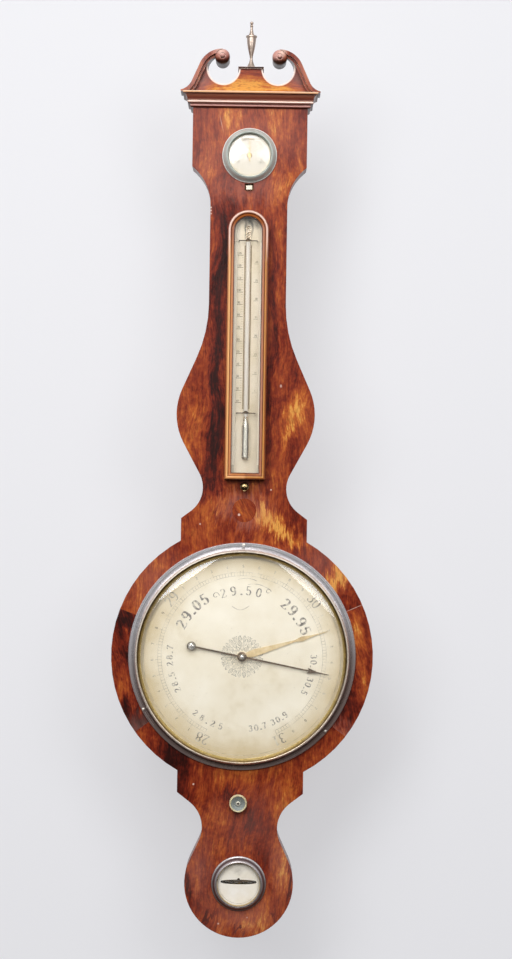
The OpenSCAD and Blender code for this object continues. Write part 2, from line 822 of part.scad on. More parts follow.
module back_cock() {
    color(brass) hung() difference() {
        union() {
            block(-cock_half, cock_half, -cock_reach - 6, cock_reach + 6, cock_d, cock_d + cock_t);
            for (s = [-1, 1]) {
                rod(0, s * cock_reach, 4, cock_d + 1, cavity_d);
                rod(0, s * cock_reach, 3, cavity_d - 1, cavity_d + 3.8);
            }
        }
        rod(0, 0, pivot_r + run, 0, cavity_d);
    }
}

module limb(x, up0, up1, r) {
    translate([x, up0, tube_d]) rotate([-90, 0, 0]) cylinder(h = up1 - up0, r = r);
}

module bend(r) {
    translate([thread_at + bend_r, bend_up, tube_d]) rotate([0, 0, 180])
        rotate_extrude(angle = 180) translate([bend_r, 0]) circle(r = r, $fn = 32);
}

module tube_body(r, top, open) {
    limb(long_x, bend_up, top, r);
    limb(thread_at, bend_up, open, r);
    bend(r);
}

// the limbs are fused to the bend on the real tube, here they meet it across a hairline
module siphon_tube() {
    bore = tube_r - tube_wall;
    color(clear) hung() {
        difference() {
            limb(long_x, bend_up + hairline, tube_top, tube_r);
            limb(long_x, bend_up - 1, tube_top - 2, bore);
        }
        difference() {
            limb(thread_at, bend_up + hairline, open_top, tube_r);
            limb(thread_at, bend_up - 1, open_top + 1, bore);
        }
        difference() {
            bend(tube_r);
            bend(bore);
        }
    }
}

module mercury_bend() {
    color(quicksilver) hung() bend(mercury_r);
}

module mercury_long() {
    color(quicksilver) hung() limb(long_x, bend_up, long_level, mercury_r);
}

module mercury_short() {
    color(quicksilver) hung() limb(thread_at, bend_up, -level_down, mercury_r);
}

module tube_corks() {
    color("#a67b4f") hung() difference() {
        union() {
            for (f = cork_ups) let (u = cavity_up + f * (tube_top - cavity_up))
                block(long_x - channel_half + 0.15, long_x + channel_half - 0.15, u - 8, u + 8,
                      cover_t + 0.2, channel_d - 0.2);
            block(thread_at - tube_r - 1.5, long_x + tube_r + 1.4, -cavity_down + fit, bend_up - 3,
                  tube_d - 6, tube_d + 5.6);
        }
        tube_body(tube_r + fit, tube_top + 1, open_top);
    }
}

module float_wheel() {
    function groove(d) = [[wheel_r, d - 1.1], [groove_r, d - 0.5], [groove_r, d + 0.5], [wheel_r, d + 1.1]];
    color(brass) hung() turned_out(concat(
        [[arbor_r + fit, counter_d - 1.8], [wheel_r, counter_d - 1.8]], groove(counter_d), groove(tube_d),
        [[wheel_r, tube_d + 1.8], [arbor_r + fit, tube_d + 1.8]]
    ));
}

module hand_arbor() {
    back = cock_d - 0.3;
    step = cock_d + cock_t + 0.3;
    front = hand_d + hand_t + 1.4;
    color(steel) hung() turned_out([
        [0, back], [pivot_r, back], [pivot_r, step], [arbor_r, step], [arbor_r, front], [0, front]
    ]);
}

module glass_float() {
    low = -level_down + 0.3;
    color(clear) hung() turned_up([
        [0, low], [float_r * 0.6, low], [float_r, low + 2], [float_r, low + float_len - 3],
        [0.6, low + float_len], [0, low + float_len]
    ], thread_at, tube_d);
}

module float_thread() {
    color("#3a3128") hung() limb(thread_at, -level_down + 0.3 + float_len, 0, thread_r);
}

module counterweight() {
    low = counter_up - counter_len;
    color(brass) hung() turned_up([
        [0, low], [counter_r - 0.6, low], [counter_r, low + 0.8], [counter_r, counter_up - 3],
        [0.7, counter_up], [0, counter_up]
    ], -thread_at, counter_d);
}

module counter_thread() {
    color("#3a3128") hung() translate([-thread_at, counter_up, counter_d]) rotate([-90, 0, 0])
        cylinder(h = -counter_up, r = thread_r, $fn = 24);
}

// half of a hand's outline, from the pivot out, widths against lengths
module hand_blade(widths) {
    polygon(mirrored(concat([for (p = widths) [p[0], p[1]]], [[0, widths[len(widths) - 1][1]]])));
}

module pressure_hand() {
    top = hand_d + hand_t;
    color(steel) hung() rotate([0, 0, -hand_at]) difference() {
        union() {
            slab(hand_d, top) {
                hand_blade([[1.25, 0], [0.85, hand_len * 0.77], [3.5, hand_len * 0.75],
                            [0.85, hand_len * 0.86], [0.3, hand_len]]);
                translate([-1.1, -tail_len]) square([2.2, tail_len]);
            }
            turned_out([[0, hand_d], [poise_r, hand_d], [poise_r, top], [poise_r * 0.7, top + 1],
                        [0, top + 1.5]], 0, -tail_len);
            turned_out([[0, hand_d - 0.3], [hub_r, hand_d - 0.3], [hub_r, top + 0.6], [hub_r - 1.2, top + 1],
                        [hub_r * 0.5, top + 1.2], [hub_r * 0.46, top + 2.4], [0, top + 3]]);
        }
        rod(0, 0, arbor_r + fit, hand_d - 1, top + 1.5);
    }
}

module set_hand() {
    color(brass) hung() rotate([0, 0, -set_hand_at]) slab(set_hand_d, set_hand_d + set_hand_t) difference() {
        union() {
            circle(r = cannon_r + 3.2);
            hand_blade([[2.6, 0], [4.6, set_hand_len * 0.14], [1.1, set_hand_len * 0.62],
                        [3.1, set_hand_len * 0.7], [1, set_hand_len * 0.82], [0.3, set_hand_len]]);
        }
        circle(r = cannon_r + fit);
    }
}

// a grooved pulley on its shaft, turned: belt radius, shaft radius and the shaft's two ends
function pulley(belt_r, shaft_r, back, front) = [
    [shaft_r, back], [shaft_r, belt_d - pulley_half], [belt_r + 1.4, belt_d - pulley_half],
    [belt_r + 1.4, belt_d - 1.7], [belt_r - cord_r - 0.1, belt_d - 0.8], [belt_r - cord_r - 0.1, belt_d + 0.8],
    [belt_r + 1.4, belt_d + 1.7], [belt_r + 1.4, belt_d + pulley_half], [shaft_r, belt_d + pulley_half],
    [shaft_r, front]
];

module set_cannon() {
    back = belt_d - pulley_half - 1.5;
    front = set_hand_d + set_hand_t + 0.3;
    color(brass) hung() turned_out(concat(
        [[arbor_r + run, back]], pulley(set_pulley_r, cannon_r, back, front), [[arbor_r + run, front]]
    ));
}

// loop around the two pulleys, moved out by w, with the knob's pulley along +x
function belt_loop(w, span) =
    let (wrap = acos((set_pulley_r - knob_pulley_r) / span))
    concat(arc([0, 0], set_pulley_r + w, wrap, 360 - wrap), arc([span, 0], knob_pulley_r + w, -wrap, wrap));

module set_cord() {
    span = norm(knob_place);
    color("#8a6a3c") hung() rotate([0, 0, atan2(knob_place[1], knob_place[0])])
        slab(belt_d - cord_r, belt_d + cord_r) difference() {
            polygon(belt_loop(cord_r, span));
            polygon(belt_loop(-cord_r, span));
        }
}

module knob_bush() {
    color(brass) hung() turned_out([
        [spindle_r + run, cavity_d - 0.3], [knob_bush_r, cavity_d - 0.3], [knob_bush_r, case_t],
        [knob_bush_r + 2, case_t], [knob_bush_r + 2, case_t + 0.8], [spindle_r + run, case_t + 0.8]
    ], knob_x, -knob_down);
}

module set_knob() {
    front = knob_d + knob_t;
    color(bone) hung() turned_out([
        [spindle_r + fit, knob_d], [knob_r - 1.4, knob_d], [knob_r, knob_d + 1.6], [knob_r, front - 1.2],
        [knob_r - 0.7, front], [knob_r - 1.6, front], [knob_r - 2.2, front - 0.8], [knob_r - 2.2, dish_d],
        [spindle_r + fit, dish_d]
    ], knob_x, -knob_down);
}

module knob_spindle() {
    back = belt_d - pulley_half - 0.4;
    rim = knob_r - 2.2 - fit;
    color("#5b5a4c") hung() turned_out(concat(
        [[0, back]], pulley(knob_pulley_r, spindle_r, back, dish_d + 0.1),
        [[rim, dish_d + 0.1], [rim, dish_d + 1.4], [rim * 0.5, dish_d + 0.8], [2.3, dish_d + 0.8],
         [2.1, dish_d + 1.9], [1, dish_d + 1.9], [0.9, dish_d + 1.2], [0, dish_d + 1.2]]
    ), knob_x, -knob_down);
}

module small_bezel(up) {
    profile = concat(
        [[small_wall_r, 0], [small_r, 0], [small_r, 1.2], [small_r - 0.6, 2]],
        ogee([small_r - 1, 2.2], [small_sight + 2.4, small_h - 0.5], 6),
        [[small_sight + 1.6, small_h], [small_sight, small_lip_h + 1], [small_sight, small_lip_h]],
        [[small_wall_r, small_lip_h]]
    );
    turned_out([for (p = profile) [p[0], case_t + p[1]]], 0, up);
}

module hygro_bezel() {
    color(brass) hung() small_bezel(hygro_up);
}

module level_bezel() {
    color(brass) hung() small_bezel(-foot_down);
}

module hygro_glass() {
    color(clear) hung() turned_out(lens(small_glass_r, 3, 1.4, case_t + small_lip_h - 0.7), 0, hygro_up);
}

module hygro_plate() {
    color(silvered) hung() turned_out([
        [beard_r + 0.9, case_t], [small_plate_r, case_t], [small_plate_r, plate_d], [beard_r + 0.9, plate_d]
    ], 0, hygro_up);
}

module hygro_adjuster() {
    back = hygro_d + 0.3;
    color(bone) hung() {
        rod(0, hygro_up, 7, back, back + adjuster_t);
        block(-adjuster_half, adjuster_half, hygro_up - adjuster_reach - 2, hygro_up, back, back + adjuster_t);
        rod(0, hygro_up - adjuster_reach, adjuster_post_r, back + 0.5, case_t + 2);
        block(-3.7, 3.7, hygro_up - adjuster_reach - 2.5, hygro_up - adjuster_reach + 2.5,
              case_t + 1, case_t + 4.2);
    }
}

module oat_beard() {
    color("#a87f3e") hung() rod(0, hygro_up, beard_r, hygro_d + 0.3 + adjuster_t, plate_d + 1.5);
}

module hygro_pointer() {
    color("#c9b98c") hung() translate([0, hygro_up, 0]) difference() {
        union() {
            rod(0, 0, 2.3, plate_d + 0.5, plate_d + 1.3);
            slab(plate_d + 0.5, plate_d + 0.9)
                polygon(mirrored([[0.7, -7], [0.55, 0], [0.3, small_sight - 4]]));
        }
        rod(0, 0, beard_r + run, plate_d, plate_d + 3);
    }
}

module level_plate() {
    half = slot_len / 2;
    steps = [for (i = [0:32]) cos(180 * i / 32)];
    bulge = [for (t = steps) [half * t, slot_h / 2 * pow(1 - t ^ 2, 0.3)]];
    hollow = [for (i = [31:-1:1]) [bulge[i][0], -bulge[i][1]]];
    color(silvered) hung() difference() {
        rod(0, -foot_down, small_plate_r, case_t, plate_d);
        slab(case_t - 1, plate_d + 1) translate([0, level_up]) {
            polygon(concat(bulge, hollow));
            polygon([[-3.4, 0], [3.4, 0], [0.9, slot_h / 2 + 1.9], [-0.9, slot_h / 2 + 1.9]]);
        }
    }
}

module across(x0, x1, r, up, d) {
    translate([x0, up, d]) rotate([0, 90, 0]) cylinder(h = x1 - x0, r = r);
}

module level_vial() {
    color(clear) hung() difference() {
        across(-vial_half, vial_half, vial_r, level_up, vial_d);
        across(-vial_half + 1.2, vial_half + 1, vial_r - 0.8, level_up, vial_d);
    }
}

module level_spirit() {
    color("#b9a76a") hung() difference() {
        across(-vial_half + 1.3, vial_half - 1.2, vial_r - 0.8 - fit, level_up, vial_d);
        across(-4.5, 4.5, 2.2, level_up + vial_r - 2, vial_d);
    }
}

module vial_saddle() {
    half = vial_half - 3;
    color(brass) hung() difference() {
        block(-half, half, level_up - vial_r - 2, level_up + vial_r + 2, vial_d - vial_r - 2, case_t);
        across(-half - 1, half + 1, vial_r + 0.1, level_up, vial_d);
        block(-half - 1, half + 1, level_up - vial_r - 0.1, level_up + vial_r + 0.1, vial_d, case_t + 1);
    }
}

function arch(half, low) = mirrored(concat([[half, low]], arc([0, arch_up], half, 0, 90)));

module thermo_scale() {
    color(silvered) hung() difference() {
        slab(case_t, case_t + scale_t) polygon(arch(scale_half, sill_up + 0.5));
        for (u = staple_up) for (s = [-1, 1])
            rod(s * staple_half, box_up + u, staple_r + fit, case_t - 1, case_t + scale_t + 1);
    }
}

module thermo_tube() {
    color(clear) hung() turned_up([
        [0, bulb_up], [bulb_r * 0.7, bulb_up + 0.6], [bulb_r, bulb_up + 2.8], [bulb_r, bulb_top],
        [stem_r, bulb_top + bulb_neck], [stem_r, stem_top - 1.2], [stem_r - 1, stem_top], [bore_r, stem_top],
        [bore_r, bulb_top + bulb_neck - 1], [bulb_r - bulb_wall, bulb_top - 0.5],
        [bulb_r - bulb_wall, bulb_up + 3],
        [0, bulb_up + 1.2]
    ], 0, tube_axis_d);
}

module thermo_mercury() {
    g = 0.08;
    r = bulb_r - bulb_wall - g;
    top = bulb_up + column_up;
    color(quicksilver) hung() turned_up([
        [0, bulb_up + 1.4], [r, bulb_up + 3.2], [r, bulb_top - 0.6],
        [bore_r - g, bulb_top + bulb_neck - 1.2], [bore_r - g, top], [0, top]
    ], 0, tube_axis_d);
}

module tube_staples() {
    color(steel) hung() for (u = staple_up) {
        across(-staple_half - 0.3, staple_half + 0.3, staple_r, box_up + u, staple_d);
        slab(staple_d - staple_r, staple_d + staple_r) translate([0, box_up + u])
            polygon([[-6.5, -0.4], [6.5, -0.4], [2.6, 1.2], [0.9, 2.9], [-0.9, 2.9], [-2.6, 1.2]]);
        for (s = [-1, 1]) rod(s * staple_half, box_up + u, staple_r - fit, case_t - 6, staple_d + 0.2);
    }
}

// the box's moulding, distance from its middle line against depth: bead, slope, lip and groove for the pane
function box_profile() = concat(
    [[box_in, box_d], [box_out, box_d]],
    arc([box_out - 2.6, box_front - 2.6], 2.6, 0, 130),
    [[box_out - 4.9, box_front - 1.4], [box_in, box_front - 2.2], [box_in, pane_d + pane_t + 0.2]],
    [[box_in + 1.6, pane_d + pane_t + 0.2], [box_in + 1.6, pane_d], [box_in, pane_d]]
);

module box_stile() {
    intersection() {
        translate([0, arch_up, 0]) rotate([90, 0, 0]) linear_extrude(arch_up - box_up + 1)
            polygon(box_profile());
        slab(0, 2 * case_t) polygon([[0, mitre_up], [0, far], [far, far], [far, mitre_up - far]]);
    }
}

module box_frame() {
    color(mahogany) hung() difference() {
        union() {
            translate([0, arch_up, 0]) rotate_extrude(angle = 180) polygon(box_profile());
            box_stile();
            mirror([1, 0, 0]) box_stile();
            intersection() {
                translate([-box_out, mitre_up, 0]) rotate([90, 0, 90]) linear_extrude(box_w)
                    polygon([for (p = box_profile()) [-p[0], p[1]]]);
                slab(0, 2 * case_t) polygon([[0, mitre_up], [far, mitre_up - far], [-far, mitre_up - far]]);
            }
            rod(0, box_knob_up, box_knob_r - 0.4, box_d, box_d + tongue_t);
            block(0.4 - box_knob_r, box_knob_r - 0.4, box_knob_up, box_up + 2, box_d, box_d + tongue_t);
        }
        rod(0, box_knob_up, screw_r + 0.1, 0, 2 * case_t);
    }
}

module box_pane() {
    color(clear) hung() slab(pane_d + 0.1, pane_d + 0.1 + pane_t) polygon(arch(box_in + 1.3, sill_up - 1.3));
}

module box_knob() {
    seat = box_d + tongue_t + 0.3;
    c = seat + 1.2 + box_knob_r * 0.8;
    color(brass) hung() turned_out(concat(
        [[0, case_t - 10], [screw_r - 0.4, case_t - 10], [screw_r, case_t - 9], [screw_r, seat], [3.4, seat],
         [3.4, seat + 1], [2.6, seat + 1.6]],
        [for (a = [-45:15:75]) [box_knob_r * cos(a), c + box_knob_r * sin(a) * 0.86]],
        [[0, c + box_knob_r * 0.86]]
    ), 0, box_knob_up);
}

module back_door() {
    color(pine) hung() difference() {
        translate([0, door_top, 0]) rotate([90, 0, 0]) linear_extrude(door_top - door_bottom) polygon(concat(
            [[door_half, door_gap + door_t], [door_pin_x, door_gap + door_t]],
            [for (a = [105:15:255]) [door_pin_x, door_pin_d] + door_edge_r * [cos(a), sin(a)]],
            [[door_pin_x, door_gap], [door_half, door_gap]]
        ));
        for (u = [door_top - door_pin_len - 0.2, door_bottom - 1])
            translate([door_pin_x, u, door_pin_d]) rotate([-90, 0, 0])
                cylinder(h = door_pin_len + 1.2, r = door_pin_r + run);
        rod(door_screw_x, door_screw_up, door_screw_r + run, -1, door_t + 1);
        rod(door_screw_x, door_screw_up, door_head_r + 0.3, -1, door_head_t + 0.4);
    }
}

module door_screw() {
    color(brass) hung() translate([door_screw_x, door_screw_up, 0]) difference() {
        rotate_extrude() polygon([
            [0, 0.2], [door_head_r, 0.2], [door_head_r, door_head_t + 0.1], [door_screw_r, door_head_t + 0.1],
            [door_screw_r, door_screw_len - 1.2], [0, door_screw_len]
        ]);
        block(-door_head_r - 1, door_head_r + 1, -0.45, 0.45, -0.5, 1);
    }
}

carcass();
edge_veneer();
trunk_veneer();
ring_veneers();
foot_veneer();
veneer_plug();
cornice();
pediment_board();
swan_necks();
plinth_cap();
finial();
hanger_plate();
brass_screws();
trunk_cover();
door_pins();
dial_plate();
dial_bezel();
dial_glass();
glass_putty();
bezel_screws();
centre_bush();
back_cock();
siphon_tube();
mercury_bend();
mercury_long();
mercury_short();
tube_corks();
set_cord();
knob_bush();
hygro_bezel();
hygro_glass();
hygro_plate();
level_bezel();
level_plate();
level_vial();
level_spirit();
vial_saddle();
thermo_scale();
thermo_tube();
thermo_mercury();
tube_staples();
hand_arbor();
float_wheel();
pressure_hand();
glass_float();
float_thread();
counterweight();
counter_thread();
set_cannon();
set_hand();
set_knob();
knob_spindle();
hygro_adjuster();
oat_beard();
hygro_pointer();
box_frame();
box_pane();
box_knob();
back_door();
door_screw();
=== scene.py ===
"""Dresses a wall-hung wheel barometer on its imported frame.

The frame has its origin at the hanging hole on the wall plane, +Z up and the front at -Y. Sizes are in
millimetres as on the maker's bench, where x runs to the right, up from the dial's centre and d out from
the wall, and bench() turns them into the frame's metres.
"""

from __future__ import annotations

import json
import logging
import math
from dataclasses import dataclass, field
from enum import Enum
from typing import Any, Optional, Sequence, Union

import bmesh
import bpy
from mathutils import Matrix, Vector

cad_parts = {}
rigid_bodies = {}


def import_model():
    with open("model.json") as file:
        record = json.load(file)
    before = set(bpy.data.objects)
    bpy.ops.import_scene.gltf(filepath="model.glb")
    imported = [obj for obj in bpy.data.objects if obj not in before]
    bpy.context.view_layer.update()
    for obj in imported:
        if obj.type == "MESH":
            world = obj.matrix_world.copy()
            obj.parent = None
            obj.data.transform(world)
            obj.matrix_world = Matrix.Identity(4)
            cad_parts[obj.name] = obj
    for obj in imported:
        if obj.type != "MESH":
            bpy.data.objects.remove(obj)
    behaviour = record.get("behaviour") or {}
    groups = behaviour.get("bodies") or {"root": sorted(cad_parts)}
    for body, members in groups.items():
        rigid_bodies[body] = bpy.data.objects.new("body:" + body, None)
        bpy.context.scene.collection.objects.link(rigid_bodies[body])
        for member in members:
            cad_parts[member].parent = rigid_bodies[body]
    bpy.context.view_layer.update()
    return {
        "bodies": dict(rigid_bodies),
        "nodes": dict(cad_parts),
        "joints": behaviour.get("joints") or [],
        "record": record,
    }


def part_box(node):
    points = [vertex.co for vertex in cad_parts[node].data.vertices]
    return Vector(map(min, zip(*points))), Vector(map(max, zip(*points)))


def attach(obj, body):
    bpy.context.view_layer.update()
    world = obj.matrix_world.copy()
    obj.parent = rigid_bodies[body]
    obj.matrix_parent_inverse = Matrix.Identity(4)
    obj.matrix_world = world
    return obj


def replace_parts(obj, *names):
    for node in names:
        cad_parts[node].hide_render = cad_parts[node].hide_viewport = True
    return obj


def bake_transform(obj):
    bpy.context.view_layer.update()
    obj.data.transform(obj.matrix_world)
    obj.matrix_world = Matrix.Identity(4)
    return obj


LOG = logging.getLogger("barometer")
MM = 0.001
# heights of the hanging hole, the hygrometer and the level above the dial's centre
HANG_UP = 704.0
HYGRO_UP = 612.0
FOOT_UP = -277.5
# distance of the veneered front from the wall, and height of the picture in pixels
VENEER_D = 38.0
IMAGE_H = 959

Point = tuple[float, float]
Triple = tuple[float, float, float]
Rows = tuple[tuple[float, ...], ...]
Reading = tuple[str, float, float, float, float, float]
Stops = Sequence[tuple[float, str]]
Frame = dict[str, Any]
Tree = bpy.types.NodeTree
Socket = bpy.types.NodeSocket
Value = Union[float, str, tuple, Vector, Socket]
Inputs = Union[dict[Union[str, int], Value], Sequence[Value]]

# the output that a kind of node is wanted for where it isn't the first, and settings that a kind always has
OUTPUTS = {"TexCoord": "Object", "TexNoise": "Fac", "TexWave": "Fac", "TexGradient": "Fac", "Mix": 2}
SHARED = {"Mix": {"data_type": "RGBA"}}


class Body(Enum):
    """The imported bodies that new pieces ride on."""

    CASE = "case"
    INDICATOR = "indicator"
    FLOAT = "float"
    COUNTERWEIGHT = "counterweight"


class Lay(Enum):
    """The way that tool marks run over a worked surface."""

    RINGS = "round the turned middle"
    HOOPS = "round an upright spindle"
    UPRIGHT = "up and down"
    ACROSS = "from side to side"


def bench(x: float, up: float, d: float) -> Vector:
    """Turns a place on the bench into the frame.

    Args:
        x: Distance to the right of the middle line, in millimetres.
        up: Height above the dial's centre, in millimetres.
        d: Distance out from the wall, in millimetres.

    Returns:
        The place in the frame, in metres.
    """
    return Vector((x, -d, up - HANG_UP)) * MM


def height_of(up: float) -> float:
    """Gives the frame's height, in metres, of a height above the dial's centre in millimetres."""
    return bench(0.0, up, 0.0).z


def clock(angle: float, radius: float) -> Point:
    """Gives the point at an angle clockwise from the top, in degrees, and a radius about the origin."""
    return radius * math.sin(math.radians(angle)), radius * math.cos(math.radians(angle))


def linear(colour: str) -> tuple[float, float, float, float]:
    """Turns an sRGB hex colour into linear red, green, blue and alpha."""
    parts = [int(colour[i : i + 2], 16) / 255 for i in (1, 3, 5)]
    red, green, blue = (p / 12.92 if p <= 0.04045 else ((p + 0.055) / 1.055) ** 2.4 for p in parts)
    return red, green, blue, 1.0


def per_metre(size_mm: float) -> float:
    """Gives how often a pattern of that size in millimetres repeats in a metre."""
    return 1000.0 / size_mm


def add(
    tree: Tree,
    kind: str,
    inputs: Inputs = (),
    stops: Stops = (),
    out: Union[int, str, None] = None,
    **settings: Any,
) -> Optional[Socket]:
    """Adds one shader node with its settings and links.

    Args:
        tree: The node tree to add to.
        kind: The node's type without its prefix.
        inputs: Values, sRGB hex colours or sockets for the node's inputs, by name or number or in their order.
        stops: Places and sRGB hex colours of a colour ramp.
        out: The wanted output where it isn't the kind's usual one.
        **settings: Properties of the node.

    Returns:
        The wanted output, if the node has outputs.
    """
    node = tree.nodes.new("ShaderNode" + kind)
    for name, value in {**SHARED.get(kind, {}), **settings}.items():
        setattr(node, name, value)
    for key, value in inputs.items() if isinstance(inputs, dict) else enumerate(inputs):
        if isinstance(value, Socket):
            tree.links.new(value, node.inputs[key])
        else:
            node.inputs[key].default_value = linear(value) if isinstance(value, str) else value
    if stops:
        elements = node.color_ramp.elements
        elements[0].position, elements[1].position = stops[0][0], stops[-1][0]
        for place, _ in stops[1:-1]:
            elements.new(place)
        for element, (_, colour) in zip(elements, stops):
            element.color = linear(colour)
    wanted = OUTPUTS.get(kind, 0) if out is None else out
    return node.outputs[wanted] if node.outputs else None


def away(tree: Tree, place: Socket, middle: Point, scale: Triple = (1.0, 0.0, 1.0)) -> tuple[Socket, Socket]:
    """Gives the way from a middle on the bench to a place, scaled along the axes, and its length."""
    way = add(tree, "VectorMath", (place, bench(*middle, 0.0)), operation="SUBTRACT")
    way = add(tree, "VectorMath", (way, scale), operation="MULTIPLY")
    return way, add(tree, "VectorMath", (way,), out="Value", operation="LENGTH")


def sway(tree: Tree, noise: Socket, reach: Triple, place: Socket) -> Socket:
    """Moves a place to and fro with a noise, by up to half of the reach."""
    shift = add(tree, "VectorMath", (noise, (0.5, 0.5, 0.5)), operation="SUBTRACT")
    return add(tree, "VectorMath", (shift, reach, place), operation="MULTIPLY_ADD")


def streaks(
    tree: Tree, place: Socket, size_mm: Triple, detail: float, rough: float = 0.5, out: str = "Fac"
) -> Socket:
    """Gives a noise whose grains are longer one way than another.

    Args:
        tree: The material's node tree.
        place: The place on the surface, in metres.
        size_mm: Size of a grain across, in depth and upright.
        detail: How many finer noises it has.
        rough: How strong these are.
        out: The wanted output.

    Returns:
        The noise.
    """
    grain = add(tree, "Mapping", {"Vector": place, "Scale": tuple(per_metre(size) for size in size_mm)})
    return add(tree, "TexNoise", {"Vector": grain, "Scale": 1.0, "Detail": detail, "Roughness": rough}, out=out)


def surface(
    tree: Tree, colour: Value, rough: Value, relief: Socket, bump: Point, more: Optional[dict[str, Value]] = None
) -> Socket:
    """Ends a pattern in a principled shader.

    Args:
        tree: The material's node tree.
        colour: The surface's colour.
        rough: Its roughness.
        relief: Its heights, from 0 to 1.
        bump: Strength of the relief and its depth in millimetres.
        more: Other inputs of the shader.

    Returns:
        The shader's output.
    """
    normal = add(tree, "Bump", {"Strength": bump[0], "Distance": bump[1] * MM, "Height": relief})
    return add(
        tree, "BsdfPrincipled", {"Base Color": colour, "Roughness": rough, "Normal": normal, **(more or {})}
    )


@dataclass(frozen=True)
class Finish:
    """A surface as it was made and as age has left it.

    Args:
        name: The material's name.
        slot: Name of a material slot in the record; not used.
    """

    name: str
    slot: str

    def material(self) -> bpy.types.Material:
        """Gives the material of this finish, made when it is first asked for."""
        made = bpy.data.materials.get(self.name)
        if made is None:
            made = bpy.data.materials.new(self.name)
            made.use_nodes = True
            tree = made.node_tree
            tree.nodes.clear()
            add(tree, "OutputMaterial", {"Surface": self.shade(tree, add(tree, "TexCoord"))})
        return made

    def shade(self, tree: Tree, place: Socket) -> Socket:
        """Draws the finish.

        Args:
            tree: The material's node tree.
            place: The place on the surface, in metres.

        Returns:
            The socket that goes to the material's surface.
        """
        raise NotImplementedError


@dataclass(frozen=True)
class Mark:
    """A soft oval patch on a surface.

    Args:
        x: Place to the right of the middle line.
        up: Height above the dial's centre.
        half_w: Half of its width.
        half_h: Half of its height.
        strength: How far it moves the tone.
        turn: Its lean, clockwise in degrees.
    """

    x: float
    up: float
    half_w: float
    half_h: float
    strength: float
    turn: float = 0.0


def ovals(tree: Tree, place: Socket, rows: Rows, start: Value, sign: float = 1.0) -> Value:
    """Adds soft ovals to a value.

    Args:
        tree: The material's node tree.
        place: The place on the surface, in metres.
        rows: The ovals, each with the values of a Mark.
        start: The value so far.
        sign: 1 to raise the value and -1 to lower it.

    Returns:
        The value with the ovals.
    """
    gain = 1.6
    for mark in (Mark(*row) for row in rows):
        oval = add(
            tree,
            "Mapping",
            {
                "Vector": place,
                "Location": bench(mark.x, mark.up, VENEER_D),
                "Rotation": (0.0, math.radians(mark.turn), 0.0),
                "Scale": (mark.half_w * MM, 1.0, mark.half_h * MM),
            },
            vector_type="TEXTURE",
        )
        soft = add(tree, "TexGradient", (oval,), gradient_type="SPHERICAL")
        start = add(tree, "Math", (soft, sign * gain * mark.strength, start), operation="MULTIPLY_ADD")
    return start


